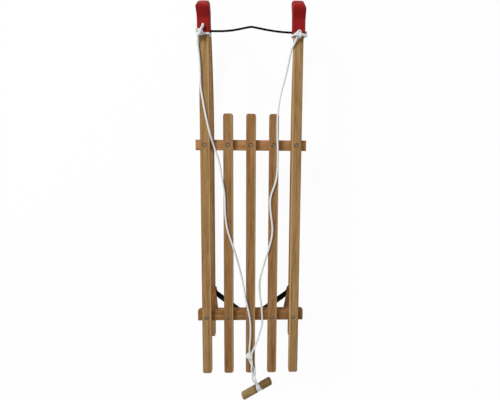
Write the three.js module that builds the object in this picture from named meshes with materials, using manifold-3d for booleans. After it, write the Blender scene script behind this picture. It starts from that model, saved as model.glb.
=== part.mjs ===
// A wooden sledge: two steam-bent runners with horns, leaning legs, a slatted seat and a pull cord.
// Millimetres, +Z up, +Y to the front, +X to the right seen from above.
// The origin is on the ground, midway along and across the sledge without its cord.
import * as THREE from "three";
import { mergeVertices } from "three/addons/utils/BufferGeometryUtils.js";
import Module from "manifold-3d";

const wasm = await Module();
wasm.setup();

// Seat: five slats on two crossbars
const slatPitch = 70;
const slatsPerSide = 2;
const slatWidth = 30;
const slatThickness = 15;
const slatCorner = 7;
const slatEdge = 2.5;
const rowSpacing = 555;
const slatFrontReach = 96;
const slatRearReach = 190;
const crossbarOverhang = 16.5;
const crossbarWidth = 33;
const crossbarHeight = 22;
const crossbarCorner = 10;
const crossbarEdge = 2;

// Legs, square and leaning outwards to the ground, with round tenons
const legHeight = 164;
const legInsideScrew = 8;
const legWidth = 28;
const legDepth = 26;
const legEdge = 2;
const tenonDiameter = 15;
const tenonLength = 13;

// Runners, bent in one piece from the tail to the horn
const trackHalf = 153.5;
const runnerWidth = 24;
const runnerThickness = 24;
const runnerEdge = 2;
const runnerRearReach = 195;
const riseStart = 20;
const riseRadius = 1370;
const riseTurn = THREE.MathUtils.degToRad(15);
const hornRadius = 97;
const hornLean = THREE.MathUtils.degToRad(35);
const hornAboveSeat = 18.5;
const hornThickness = 20;
const hornTipRound = 8;
const shoeWidth = 22;
const shoeThickness = 3;
const shoeLip = 9;
const shoeFrontTurn = THREE.MathUtils.degToRad(100);

// Plastic cap over each horn and the front end of its rail
const capWall = 4.3;
const capNoseWall = 3.2;
const capFrontWall = 6.8;
const capSleeve = 55.5;
const capFrontDrop = 12;
const capRound = 6;
const capCrestRound = 12;
const capNoseRound = 10;
const capBulge = 1.6;

// Steel rod between the horns
const rodDiameter = 5;
const rodInCap = 7;
const rodBow = 14.5;
const rodBowHalf = 94;
const nutAcross = 8;
const nutHeight = 5;

// Flat steel struts from each leg up to the middle of its crossbar
const strutWidth = 22;
const strutThickness = 3;
const strutFootGap = 8;
const strutFootHeight = 32;
const strutMeet = 33;
const strutTab = 25;
const strutBend = 7;

// Screws
const seatScrewHead = 10.4;
const seatScrewHeadHeight = 3.2;
const seatScrewShank = 5;
const seatScrewBite = 16;
const sinkDiameter = 12;
const sinkDepth = 4.4;
const strutScrewHead = 9;
const strutScrewHeadHeight = 2.6;
const strutScrewShank = 4.5;
const strutScrewBite = 15;
const hornScrewHead = 11;
const hornScrewHeadHeight = 3.5;
const hornScrewShank = 6;
const hornScrewBite = 34;
const shoeScrewHead = 7.6;
const shoeScrewHeadHeight = 2.2;
const shoeScrewShank = 3.6;
const shoeScrewBite = 14;
const shoeScrewInset = 42;
const shoeScrewFromLeg = 60;

// Pull cord and its wooden grip
const cordDiameter = 6;
const cordSides = 8;
const gripLength = 130;
const gripDiameter = 30;
const gripEndRound = 4;
const gripTurn = THREE.MathUtils.degToRad(30.6);
const gripPlaceX = 20;
const gripPlaceY = -831;
const hitchTurns = 2.5;
const hitchGap = 0.8;
const hitchFromMiddle = 10;
const railKnotWidth = 24;
const railKnotLength = 21;
const railKnotHeight = 16;
const endKnotWidth = 24;
const endKnotHeight = 15;

// Gaps between pieces, and how far a cutting tool runs past what it cuts
const fit = 0.3;
const overrun = 20;

// Places worked out from the sizes above
const rightAngle = Math.PI / 2;
const runnerTop = shoeThickness + runnerThickness;
const crossbarUnder = runnerTop + legHeight;
const crossbarTop = crossbarUnder + crossbarHeight;
const seatTop = crossbarTop + slatThickness;
const noseReach = riseStart + riseRadius * Math.sin(riseTurn) + hornRadius * (1 - Math.sin(riseTurn));
const frontReach = noseReach + shoeThickness;
const rearReach = rowSpacing + runnerRearReach + shoeThickness;
const frontRow = (rearReach - frontReach) / 2;
const rearRow = frontRow - rowSpacing;
const slatRear = rearRow - slatRearReach;
const slatFront = frontRow + slatFrontReach;
const tail = rearRow - runnerRearReach;
const railSpread = slatPitch * slatsPerSide;
const crossbarLength = 2 * (railSpread + slatWidth / 2 + crossbarOverhang);
const legTopSpread = railSpread - (tenonDiameter + seatScrewShank) / 2 - legInsideScrew;
const cordRadius = cordDiameter / 2;

const wood = { color: 0xb08c5e, roughness: 0.55, metalness: 0 };
const bentWood = { color: 0xa17c52, roughness: 0.55, metalness: 0 };
const gripWood = { color: 0xb49a74, roughness: 0.6, metalness: 0 };
const zinc = { color: 0x9a9a98, roughness: 0.4, metalness: 1 };
const blackSteel = { color: 0x17171a, roughness: 0.45, metalness: 0.6 };
const shoeSteel = { color: 0x8c8e90, roughness: 0.35, metalness: 1 };
const redPlastic = { color: 0xa3161c, roughness: 0.3, metalness: 0 };
const whiteCord = { color: 0xe9ebee, roughness: 0.8, metalness: 0 };

const sledge = new THREE.Group();

// A closed geometry as a solid that can be joined and cut.
function solidOf(geometry) {
  const bare = geometry.clone();
  bare.deleteAttribute("normal");
  bare.deleteAttribute("uv");
  const merged = mergeVertices(bare);
  const vertProperties = new Float32Array(merged.attributes.position.array);
  const triVerts = new Uint32Array(merged.index.array);
  return new wasm.Manifold(new wasm.Mesh({ numProp: 3, vertProperties, triVerts }));
}

function addPiece(name, solid, finish) {
  const mesh = solid.getMesh();
  const geometry = new THREE.BufferGeometry();
  geometry.setAttribute("position", new THREE.BufferAttribute(mesh.vertProperties, mesh.numProp));
  geometry.setIndex(new THREE.BufferAttribute(mesh.triVerts, 1));
  const flat = geometry.toNonIndexed();
  flat.computeVertexNormals();
  const piece = new THREE.Mesh(flat, new THREE.MeshStandardMaterial(finish));
  piece.name = name;
  sledge.add(piece);
}

// Extrudes an outline by a depth, centred on it, with its edges rounded inside the given size.
function extrudeCentred(shape, depth, edge, edgeSteps) {
  const geometry = new THREE.ExtrudeGeometry(shape, {
    depth: depth - 2 * edge,
    bevelEnabled: edge > 0,
    bevelThickness: edge,
    bevelSize: edge,
    bevelOffset: -edge,
    bevelSegments: edgeSteps,
    curveSegments: 4,
    steps: 1,
  });
  geometry.translate(0, 0, edge - depth / 2);
  return geometry;
}

const axisX = new THREE.Vector3(1, 0, 0);
const axisY = new THREE.Vector3(0, 1, 0);
const axisZ = new THREE.Vector3(0, 0, 1);
const sideView = new THREE.Matrix4().makeBasis(axisY, axisZ, axisX);
const frontView = new THREE.Matrix4().makeBasis(axisX, axisZ, axisY.clone().negate());

// An outline drawn in X and Z, extruded along the sledge.
function frontPlate(shape, width, edge, edgeSteps) {
  return extrudeCentred(shape, width, edge, edgeSteps).applyMatrix4(frontView);
}

function rectangle(width, height, corner) {
  const x = width / 2;
  const y = height / 2;
  const shape = new THREE.Shape();
  shape.moveTo(corner - x, -y);
  shape.lineTo(x - corner, -y);
  shape.absarc(x - corner, corner - y, corner, -rightAngle, 0);
  shape.lineTo(x, y - corner);
  shape.absarc(x - corner, y - corner, corner, 0, rightAngle);
  shape.lineTo(corner - x, y);
  shape.absarc(corner - x, y - corner, corner, rightAngle, Math.PI);
  shape.lineTo(-x, corner - y);
  shape.absarc(corner - x, corner - y, corner, Math.PI, 3 * rightAngle);
  return shape;
}

// A round tool or pin from a start point along a direction.
function rodAlong(start, direction, length, diameter, sides) {
  const geometry = new THREE.CylinderGeometry(diameter / 2, diameter / 2, length, sides);
  const turn = new THREE.Quaternion().setFromUnitVectors(axisY, direction);
  geometry.translate(0, length / 2, 0).applyQuaternion(turn);
  return solidOf(geometry.translate(start.x, start.y, start.z));
}

const boreSides = 10;

// A pan-head screw whose head sits on a face, its shank running along a direction.
function screw(seat, direction, head, headHeight, shank, length) {
  const crownShare = 0.7;
  const profile = [
    new THREE.Vector2(0, -headHeight),
    new THREE.Vector2(crownShare * head / 2, -headHeight),
    new THREE.Vector2(head / 2, -headHeight / 2),
    new THREE.Vector2(head / 2, 0),
    new THREE.Vector2(shank / 2, 0),
    new THREE.Vector2(shank / 2, length - shank / 2),
    new THREE.Vector2(0, length),
  ];
  const geometry = new THREE.LatheGeometry(profile, boreSides);
  const turn = new THREE.Quaternion().setFromUnitVectors(axisY, direction);
  return solidOf(geometry.applyQuaternion(turn).translate(seat.x, seat.y, seat.z));
}

function bore(seat, direction, shank, length) {
  const start = seat.clone().addScaledVector(direction, -fit);
  return rodAlong(start, direction, length + 2 * fit, shank + 2 * fit, boreSides);
}

// The sole of a runner as stations from the tail to the tip of the horn.
// Each has its place, the turn of the wood there, and its share of the horn's length.
function soleStations() {
  const stations = [];
  const riseSteps = 8;
  const hornSteps = 14;
  const add = (y, z, turn, hornShare) => stations.push({ y, z, turn, hornShare });
  const riseY = frontRow + riseStart;
  add(tail, shoeThickness, 0, 0);
  for (let i = 0; i <= riseSteps; i++) {
    const turn = (riseTurn * i) / riseSteps;
    const z = shoeThickness + riseRadius * (1 - Math.cos(turn));
    add(riseY + riseRadius * Math.sin(turn), z, turn, 0);
  }
  const from = stations[stations.length - 1];
  const wholeTurn = rightAngle + hornLean - riseTurn;
  const arcLength = hornRadius * wholeTurn;
  const arcRise = hornRadius * (Math.cos(riseTurn) + Math.sin(hornLean));
  const hornStraight = (seatTop + hornAboveSeat - from.z - arcRise) / Math.cos(hornLean);
  for (let i = 1; i <= hornSteps; i++) {
    const turn = riseTurn + (wholeTurn * i) / hornSteps;
    const y = from.y + hornRadius * (Math.sin(turn) - Math.sin(riseTurn));
    const z = from.z + hornRadius * (Math.cos(riseTurn) - Math.cos(turn));
    add(y, z, turn, (arcLength * i) / hornSteps / (arcLength + hornStraight));
  }
  const end = stations[stations.length - 1];
  const turn = end.turn;
  add(end.y + hornStraight * Math.cos(turn), end.z + hornStraight * Math.sin(turn), turn, 1);
  return { stations, arcShare: arcLength / (arcLength + hornStraight) };
}

const { stations: sole, arcShare } = soleStations();

// How thick the wood is, and how far the horn has drawn in, at a station.
function thicknessAt(station) {
  const share = Math.min(station.hornShare / arcShare, 1);
  return THREE.MathUtils.lerp(runnerThickness, hornThickness, share);
}

function spreadAt(station) {
  return THREE.MathUtils.lerp(trackHalf, railSpread, THREE.MathUtils.smoothstep(station.hornShare, 0, 1));
}

// Skins a row of rings, all with as many points, and closes both ends.
function loft(rings) {
  const sides = rings[0].length;
  const positions = rings.flat().flatMap((point) => point.toArray());
  const index = [];
  for (let i = 0; i + 1 < rings.length; i++) {
    for (let j = 0; j < sides; j++) {
      const a = i * sides + j;
      const b = i * sides + ((j + 1) % sides);
      index.push(a, b + sides, b, a, a + sides, b + sides);
    }
  }
  const last = (rings.length - 1) * sides;
  for (let j = 1; j + 1 < sides; j++) {
    index.push(0, j, j + 1, last, last + j + 1, last + j);
  }
  const geometry = new THREE.BufferGeometry();
  geometry.setAttribute("position", new THREE.Float32BufferAttribute(positions, 3));
  geometry.setIndex(index);
  return solidOf(geometry);
}

// One ring of a bar on the sole line: from one depth to another, with its edges taken off.
function barRing(station, spread, width, low, high, edge) {
  const along = new THREE.Vector3(0, Math.cos(station.turn), Math.sin(station.turn));
  const inward = new THREE.Vector3(0, -along.z, along.y);
  const half = width / 2;
  const corners = [
    [edge - half, low],
    [half - edge, low],
    [half, low + edge],
    [half, high - edge],
    [half - edge, high],
    [edge - half, high],
    [-half, high - edge],
    [-half, low + edge],
  ];
  return corners.map(([x, depth]) =>
    new THREE.Vector3(spread + x, station.y, station.z).addScaledVector(inward, depth),
  );
}

// The steam-bent runner, its tip rounded over in front. A grown one cuts the cap clear of it.
function runnerSolid(side, grow) {
  const width = runnerWidth + 2 * grow;
  const rings = sole.slice(0, -1).map((station) => {
    const high = thicknessAt(station) + grow;
    return barRing(station, side * spreadAt(station), width, -grow, high, runnerEdge);
  });
  const tip = sole[sole.length - 1];
  const tipSteps = 4;
  for (let i = 0; i <= tipSteps; i++) {
    const angle = (rightAngle * i) / tipSteps;
    const ahead = (hornTipRound + grow) * Math.sin(angle) - hornTipRound;
    const low = hornTipRound - (hornTipRound + grow) * Math.cos(angle);
    const place = { ...tip, y: tip.y + ahead * Math.cos(tip.turn), z: tip.z + ahead * Math.sin(tip.turn) };
    rings.push(barRing(place, side * railSpread, width, low, hornThickness + grow, runnerEdge));
  }
  return loft(rings);
}

// Where the rear face of the horn's straight end crosses a height.
const hornTip = sole[sole.length - 1];
function hornBackAt(z) {
  const y = hornTip.y - hornThickness / Math.cos(hornLean);
  return y - (z - hornTip.z) * Math.tan(hornLean);
}

const capRear = hornBackAt(seatTop) - capSleeve;
const rodY = capRear + rodInCap;
const rodZ = crossbarTop + slatThickness / 2;

// Leg line: from the runner up to the crossbar
function legPoint(side, row, z) {
  const share = (z - runnerTop) / legHeight;
  return new THREE.Vector3(side * THREE.MathUtils.lerp(trackHalf, legTopSpread, share), row, z);
}

const legSlope = Math.atan2(trackHalf - legTopSpread, legHeight);

function legUp(side) {
  return new THREE.Vector3(-side * Math.sin(legSlope), 0, Math.cos(legSlope));
}

function legSolid(side, row) {
  const foot = legPoint(side, row, runnerTop);
  const head = legPoint(side, row, crossbarUnder);
  const half = legWidth / 2;
  const shape = new THREE.Shape([
    new THREE.Vector2(foot.x - half, foot.z),
    new THREE.Vector2(foot.x + half, foot.z),
    new THREE.Vector2(head.x + half, head.z),
    new THREE.Vector2(head.x - half, head.z),
  ]);
  const body = solidOf(frontPlate(shape, legDepth, legEdge, 1).translate(0, row, 0));
  const up = legUp(side);
  const length = legHeight / Math.cos(legSlope) + 2 * tenonLength;
  const start = foot.clone().addScaledVector(up, -tenonLength);
  return body.add(rodAlong(start, up, length, tenonDiameter, 2 * boreSides));
}

function tenonBore(side, row) {
  const up = legUp(side);
  const depth = tenonLength + fit;
  const start = legPoint(side, row, runnerTop).addScaledVector(up, -depth);
  const length = legHeight / Math.cos(legSlope) + 2 * depth;
  return rodAlong(start, up, length, tenonDiameter + 2 * fit, 2 * boreSides);
}

// Strut: a flat bar bent to lie on the leg, rise to the middle and lie under the crossbar
function roundedLine(points, radius, steps) {
  const line = [points[0]];
  for (let i = 1; i + 1 < points.length; i++) {
    const before = points[i - 1].clone().sub(points[i]).normalize();
    const after = points[i + 1].clone().sub(points[i]).normalize();
    const halfAngle = before.angleTo(after) / 2;
    const reach = radius / Math.tan(halfAngle);
    const curve = new THREE.QuadraticBezierCurve(
      points[i].clone().addScaledVector(before, reach),
      points[i],
      points[i].clone().addScaledVector(after, reach),
    );
    line.push(...curve.getPoints(steps));
  }
  line.push(points[points.length - 1]);
  return line;
}

function barOutline(line, thickness) {
  const sideOf = (sign) =>
    line.map((point, i) => {
      const before = line[Math.max(i - 1, 0)];
      const after = line[Math.min(i + 1, line.length - 1)];
      const along = after.clone().sub(before).normalize();
      return new THREE.Vector2(point.x - sign * along.y * thickness / 2, point.y + sign * along.x * thickness / 2);
    });
  return new THREE.Shape([...sideOf(1), ...sideOf(-1).reverse()]);
}

const strutOff = fit + strutThickness / 2;
const legFaceOff = legWidth / 2 * Math.cos(legSlope);

function strutFootPoint(side, height) {
  const inward = new THREE.Vector3(-side * Math.cos(legSlope), 0, -Math.sin(legSlope));
  return legPoint(side, 0, runnerTop + height).addScaledVector(inward, legFaceOff + strutOff);
}

function strutScrews(side, row) {
  const footMiddle = strutFootGap + (strutFootHeight - strutBend) / 2;
  const outward = new THREE.Vector3(side * Math.cos(legSlope), 0, Math.sin(legSlope));
  const footSeat = strutFootPoint(side, footMiddle).addScaledVector(outward, -strutThickness / 2);
  footSeat.y = row;
  const tabMiddle = side * (strutMeet - strutTab / 2);
  const tabSeat = new THREE.Vector3(tabMiddle, row, crossbarUnder - strutThickness);
  return [
    { name: "foot", seat: footSeat, direction: outward },
    { name: "top", seat: tabSeat, direction: axisZ },
  ];
}

const strutScrewLength = strutThickness + strutScrewBite;

function strutSolid(side, row) {
  const low = strutFootPoint(side, strutFootGap);
  const knee = strutFootPoint(side, strutFootGap + strutFootHeight);
  const tabZ = crossbarUnder - strutThickness / 2;
  const points = [
    new THREE.Vector2(low.x, low.z),
    new THREE.Vector2(knee.x, knee.z),
    new THREE.Vector2(side * strutMeet, tabZ),
    new THREE.Vector2(side * (strutMeet - strutTab), tabZ),
  ];
  const line = roundedLine(points, strutBend, 3);
  let strut = solidOf(frontPlate(barOutline(line, strutThickness), strutWidth, 0, 1).translate(0, row, 0));
  for (const { seat, direction } of strutScrews(side, row)) {
    strut = strut.subtract(bore(seat, direction, strutScrewShank, strutScrewLength));
  }
  return strut;
}

// Seat screws: one through each slat into each crossbar
function seatScrewSeat(x, row) {
  return new THREE.Vector3(x, row, seatTop - sinkDepth);
}

const down = axisZ.clone().negate();
const seatScrewLength = slatThickness - sinkDepth + seatScrewBite;
const slatPlaces = [];
for (let i = -slatsPerSide; i <= slatsPerSide; i++) slatPlaces.push(i * slatPitch);
const rows = { front: frontRow, rear: rearRow };
const sides = { left: -1, right: 1 };

function cutSeatScrews(solid, xs, withSinks) {
  let cut = solid;
  for (const x of xs) {
    for (const row of Object.values(rows)) {
      cut = cut.subtract(bore(seatScrewSeat(x, row), down, seatScrewShank, seatScrewLength));
      if (withSinks) {
        cut = cut.subtract(rodAlong(seatScrewSeat(x, row), axisZ, sinkDepth + overrun, sinkDiameter, 16));
      }
    }
  }
  return cut;
}

// A slat with round corners in plan, from its rear end to its front end
function slatSolid(x, front) {
  const length = front - slatRear;
  const slat = extrudeCentred(rectangle(slatWidth, length, slatCorner), slatThickness, slatEdge, 2);
  slat.translate(x, (front + slatRear) / 2, seatTop - slatThickness / 2);
  return cutSeatScrews(solidOf(slat), [x], true);
}

const innerSlatNames = ["seat_slat_left", "seat_slat_centre", "seat_slat_right"];
innerSlatNames.forEach((name, i) => {
  addPiece(name, slatSolid(slatPlaces[i + 1], slatFront), wood);
});

// Horn screws: from the front face of each horn into the end of its rail
const hornFaceY = hornBackAt(rodZ) + hornThickness / Math.cos(hornLean);
const backward = axisY.clone().negate();
const hornScrewLength = hornFaceY - hornBackAt(rodZ) + hornScrewBite;

function hornScrewSeat(side) {
  return new THREE.Vector3(side * railSpread, hornFaceY, rodZ);
}

function hornScrewSink(side) {
  const length = hornScrewHeadHeight + overrun;
  return rodAlong(hornScrewSeat(side).addScaledVector(backward, hornScrewHead / 2), axisY, length,
    hornScrewHead + 2 * fit, 16);
}

// The hole for the stay rod through one rail and its cap
function rodBore(side, past) {
  const reach = slatWidth / 2 + capWall + past;
  const start = new THREE.Vector3(side * railSpread - reach, rodY, rodZ);
  return rodAlong(start, axisX, 2 * reach, rodDiameter + 2 * fit, boreSides);
}

// The outer slats run on as rails to the horns, and end in a slanted cut on the horn's rear face.
function railSolid(side) {
  const front = hornFaceY;
  const x = side * railSpread;
  let rail = slatSolid(x, front);
  const block = new THREE.BoxGeometry(slatWidth + 2 * overrun, 2 * hornRadius, 2 * hornRadius);
  block.translate(0, hornRadius, 0).rotateX(hornLean);
  block.translate(x, hornBackAt(seatTop) - fit / Math.cos(hornLean), seatTop);
  rail = rail.subtract(solidOf(block));
  rail = rail.subtract(rodBore(side, overrun));
  return rail.subtract(bore(hornScrewSeat(side), backward, hornScrewShank, hornScrewLength));
}

// Crossbars: lower end corners rounded, drilled for the seat, struts and leg tenons
function crossbarSolid(row) {
  const half = crossbarLength / 2;
  const shape = new THREE.Shape();
  shape.moveTo(-half, crossbarTop);
  shape.lineTo(-half, crossbarUnder + crossbarCorner);
  shape.absarc(crossbarCorner - half, crossbarUnder + crossbarCorner, crossbarCorner, Math.PI, 3 * rightAngle);
  shape.lineTo(half - crossbarCorner, crossbarUnder);
  shape.absarc(half - crossbarCorner, crossbarUnder + crossbarCorner, crossbarCorner, -rightAngle, 0);
  shape.lineTo(half, crossbarTop);
  let bar = solidOf(frontPlate(shape, crossbarWidth, crossbarEdge, 1).translate(0, row, 0));
  for (const side of Object.values(sides)) {
    bar = bar.subtract(tenonBore(side, row));
    const top = strutScrews(side, row)[1];
    bar = bar.subtract(bore(top.seat, top.direction, strutScrewShank, strutScrewLength));
  }
  return cutSeatScrews(bar, slatPlaces, false);
}

for (const [name, row] of Object.entries(rows)) {
  addPiece(`${name}_crossbar`, crossbarSolid(row), wood);
  slatPlaces.forEach((x, i) => {
    const place = seatScrewSeat(x, row);
    const body = screw(place, down, seatScrewHead, seatScrewHeadHeight, seatScrewShank, seatScrewLength);
    addPiece(`seat_screw_${name}_${i + 1}`, body, zinc);
  });
}

// Shoe: a steel band under each runner, turned up over the tail and up the front of the horn
const shoeStations = sole.filter((station) => station.turn <= shoeFrontTurn);
const shoeScrewRows = [tail + shoeScrewInset, frontRow - shoeScrewFromLeg];

function shoeScrewPlaces(side) {
  return shoeScrewRows.map((y) => new THREE.Vector3(side * trackHalf, y, shoeScrewHeadHeight + fit));
}

const shoeScrewLength = shoeThickness - shoeScrewHeadHeight - fit + shoeScrewBite;

function shoeSolid(side) {
  const bevel = shoeThickness / 4;
  const rings = shoeStations.map((station) =>
    barRing(station, side * spreadAt(station), shoeWidth, -shoeThickness, 0, bevel),
  );
  const lipHeight = shoeThickness + shoeLip;
  const lip = new THREE.BoxGeometry(shoeWidth, shoeThickness - fit, lipHeight);
  lip.translate(side * trackHalf, tail - fit - (shoeThickness - fit) / 2, lipHeight / 2);
  const heel = new THREE.BoxGeometry(shoeWidth, shoeThickness, shoeThickness - bevel);
  heel.translate(side * trackHalf, tail, (shoeThickness - bevel) / 2);
  let shoe = loft(rings).add(solidOf(lip)).add(solidOf(heel));
  for (const place of shoeScrewPlaces(side)) {
    shoe = shoe.subtract(bore(place, axisZ, shoeScrewShank, shoeScrewLength));
    shoe = shoe.subtract(rodAlong(place, down, overrun, shoeScrewHead + 2 * fit, boreSides));
  }
  return shoe;
}

// Cap: a moulded nose over the horn, its end face sloping down to a sleeve round the rail
const capUp = new THREE.Vector2(-Math.sin(hornLean), Math.cos(hornLean));
const capOut = new THREE.Vector2(Math.cos(hornLean), Math.sin(hornLean));
const capTip = new THREE.Vector2(hornTip.y, hornTip.z);
const capCrest = capTip.addScaledVector(capOut, capFrontWall).addScaledVector(capUp, capNoseWall);
const capTop = seatTop + capWall;
const capSlope = (capCrest.y - capTop) / capOut.y;

function capOutline() {
  const bottom = crossbarTop - capWall;
  const chinDrop = capCrest.y - seatTop + capFrontDrop;
  const chin = capCrest.clone().addScaledVector(capUp, -chinDrop / capUp.y);
  const beforeCrest = capCrest.clone().addScaledVector(capUp, -capCrestRound);
  const afterCrest = capCrest.clone().addScaledVector(capOut, -capCrestRound);
  const valley = capCrest.clone().addScaledVector(capOut, -capSlope);
  const intoValley = valley.clone().addScaledVector(capOut, capRound);
  const shape = new THREE.Shape();
  shape.moveTo(capRear, bottom);
  shape.lineTo(hornBackAt(bottom) - capWall, bottom);
  shape.lineTo(chin.x, chin.y);
  shape.lineTo(beforeCrest.x, beforeCrest.y);
  shape.quadraticCurveTo(capCrest.x, capCrest.y, afterCrest.x, afterCrest.y);
  shape.lineTo(intoValley.x, intoValley.y);
  shape.quadraticCurveTo(valley.x, valley.y, valley.x - capRound, capTop);
  shape.lineTo(capRear, capTop);
  return shape;
}

// A block whose flat side lies on the crest and whose long corners are rounded
const blockSize = 2 * hornRadius;
function crestBlock(basis, x, width, corner) {
  const geometry = extrudeCentred(rectangle(width, blockSize, corner), 2 * blockSize, 0, 1);
  geometry.translate(0, -blockSize / 2, 0).applyMatrix4(basis);
  return solidOf(geometry.translate(x, capCrest.x, capCrest.y));
}

// Rounds the nose: its front corners as seen along the horn, and its crest at both ends
function roundedNose(cap, x, width) {
  const up = new THREE.Vector3(0, capUp.x, capUp.y);
  const out = new THREE.Vector3(0, capOut.x, capOut.y);
  const alongHorn = new THREE.Matrix4().makeBasis(axisX, out, up);
  const alongSlope = new THREE.Matrix4().makeBasis(axisX, up, out.clone().negate());
  const length = capSlope - capRound + overrun;
  const box = new THREE.BoxGeometry(2 * width, blockSize, length);
  box.translate(0, 0, (capSlope - capRound - overrun) / 2).applyMatrix4(alongSlope);
  box.translate(x, capCrest.x, capCrest.y);
  const corners = solidOf(box).subtract(crestBlock(alongSlope, x, width, capRound));
  return cap.intersect(crestBlock(alongHorn, x, width, capNoseRound)).subtract(corners);
}

function capSolid(side) {
  const x = side * railSpread;
  const width = Math.max(slatWidth, runnerWidth) + 2 * capWall;
  const geometry = extrudeCentred(capOutline(), width, capRound / 2, 3).applyMatrix4(sideView);
  const places = geometry.attributes.position;
  for (let i = 0; i < places.count; i++) {
    const share = THREE.MathUtils.smoothstep(places.getY(i), hornBackAt(seatTop) - capRound, hornFaceY);
    places.setX(i, places.getX(i) * (1 + share * capBulge / width));
  }
  const rail = rectangle(slatWidth + 2 * fit, slatThickness + 2 * fit, slatEdge);
  const railLength = hornFaceY - capRear + overrun;
  const tunnel = frontPlate(rail, railLength, 0, 1);
  tunnel.translate(x, capRear - overrun + railLength / 2, rodZ);
  let cap = roundedNose(solidOf(geometry.translate(x, 0, 0)), x, width + capBulge);
  cap = cap.subtract(runnerSolid(side, fit));
  cap = cap.subtract(solidOf(tunnel));
  return cap.subtract(rodBore(side, overrun));
}

for (const [name, side] of Object.entries(sides)) {
  let runner = runnerSolid(side, 0);
  for (const row of Object.values(rows)) runner = runner.subtract(tenonBore(side, row));
  for (const place of shoeScrewPlaces(side)) {
    runner = runner.subtract(bore(place, axisZ, shoeScrewShank, shoeScrewLength));
  }
  runner = runner.subtract(bore(hornScrewSeat(side), backward, hornScrewShank, hornScrewLength));
  runner = runner.subtract(hornScrewSink(side));
  addPiece(`runner_${name}`, runner, bentWood);
  addPiece(`steel_shoe_${name}`, shoeSolid(side), shoeSteel);
  shoeScrewPlaces(side).forEach((place, i) => {
    const body = screw(place, axisZ, shoeScrewHead, shoeScrewHeadHeight, shoeScrewShank, shoeScrewLength);
    addPiece(`shoe_screw_${name}_${i + 1}`, body, zinc);
  });
  addPiece(`outer_rail_${name}`, railSolid(side), wood);
  addPiece(`tip_cap_${name}`, capSolid(side), redPlastic);
  const sunk = hornScrewSeat(side).addScaledVector(backward, hornScrewHead / 2 - fit);
  const sunkLength = hornScrewLength - hornScrewHead / 2 - 2 * fit;
  const body = screw(sunk, backward, hornScrewHead, hornScrewHeadHeight, hornScrewShank, sunkLength);
  addPiece(`horn_screw_${name}`, body, zinc);
  for (const [rowName, row] of Object.entries(rows)) {
    let leg = legSolid(side, row);
    const screws = strutScrews(side, row);
    leg = leg.subtract(bore(screws[0].seat, screws[0].direction, strutScrewShank, strutScrewLength));
    addPiece(`leg_${rowName}_${name}`, leg, bentWood);
    addPiece(`strut_${rowName}_${name}`, strutSolid(side, row), blackSteel);
    for (const { name: end, seat, direction } of screws) {
      const pin = screw(seat.clone().addScaledVector(direction, -fit), direction, strutScrewHead,
        strutScrewHeadHeight, strutScrewShank, strutScrewLength);
      addPiece(`strut_${end}_screw_${rowName}_${name}`, pin, blackSteel);
    }
  }
}

// A line through chosen points, whose steps fall on those points
class Route extends THREE.CatmullRomCurve3 {
  constructor(points) {
    super(points, false, "centripetal");
  }
  getPointAt(share, target) {
    return this.getPoint(share, target);
  }
  getTangentAt(share, target) {
    return this.getTangent(share, target);
  }
}

// A round tube along a curve
function tube(curve, diameter, steps, sides) {
  const section = new THREE.Shape();
  for (let i = 0; i < sides; i++) {
    const angle = (2 * Math.PI * i) / sides;
    const x = (diameter / 2) * Math.cos(angle);
    const y = (diameter / 2) * Math.sin(angle);
    if (i === 0) section.moveTo(x, y);
    else section.lineTo(x, y);
  }
  section.closePath();
  const geometry = new THREE.ExtrudeGeometry(section, { steps, bevelEnabled: false, extrudePath: curve });
  return solidOf(geometry);
}

// Stay rod: level between the rails, bowed forward in the middle, with a nut on each threaded end
const nutFace = railSpread + slatWidth / 2 + capWall + fit;
const rodBowShares = [[0.16, 0.82], [0.3, 0.62], [0.47, 0.39], [0.62, 0.22], [0.8, 0.09], [1, 0.02]];
const rodHalf = rodBowShares.map(([along, forward]) => [along * rodBowHalf, forward * rodBow]);
rodHalf.push([railSpread - slatWidth / 2, 0], [railSpread, 0], [nutFace + nutHeight, 0]);
const rodPoints = [...rodHalf.map(([x, bow]) => [-x, bow]).reverse(), [0, rodBow], ...rodHalf];
const rodCurve = new THREE.CatmullRomCurve3(
  rodPoints.map(([x, bow]) => new THREE.Vector3(x, rodY + bow, rodZ)),
  false,
  "centripetal",
);
addPiece("front_stay_rod", tube(rodCurve, rodDiameter, 44, 10), blackSteel);

for (const [name, side] of Object.entries(sides)) {
  const start = new THREE.Vector3(side * nutFace, rodY, rodZ);
  const outward = axisX.clone().multiplyScalar(side);
  const cornerDiameter = nutAcross / Math.cos(Math.PI / 6);
  const nut = rodAlong(start, outward, nutHeight, cornerDiameter, 6);
  const hole = rodAlong(start.clone().addScaledVector(outward, -fit), outward, nutHeight + 2 * fit,
    rodDiameter + 2 * fit, boreSides);
  addPiece(`rod_nut_${name}`, nut.subtract(hole), zinc);
}

function cordRun(points) {
  const route = new Route(points.map(([x, y, z]) => new THREE.Vector3(x, y, z)));
  return tube(route, cordDiameter, points.length - 1, cordSides);
}

// A knot drawn up tight: a rounded lump
function lump(place, width, length, height) {
  const geometry = new THREE.SphereGeometry(1, 10, 6);
  geometry.scale(width / 2, length / 2, height / 2);
  return solidOf(geometry.translate(place.x, place.y, place.z));
}

// The cord is tied round each rail close behind its cap, with a knot on top that laps over the cap.
const wrapY = capRear - cordRadius - fit;
const wrapOff = cordRadius + fit;
const railKnotZ = seatTop + capWall + fit + railKnotHeight / 2;

function railKnotPlace(side, inset) {
  return new THREE.Vector3(side * (railSpread + slatWidth / 2 - inset), wrapY + fit, railKnotZ);
}

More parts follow.
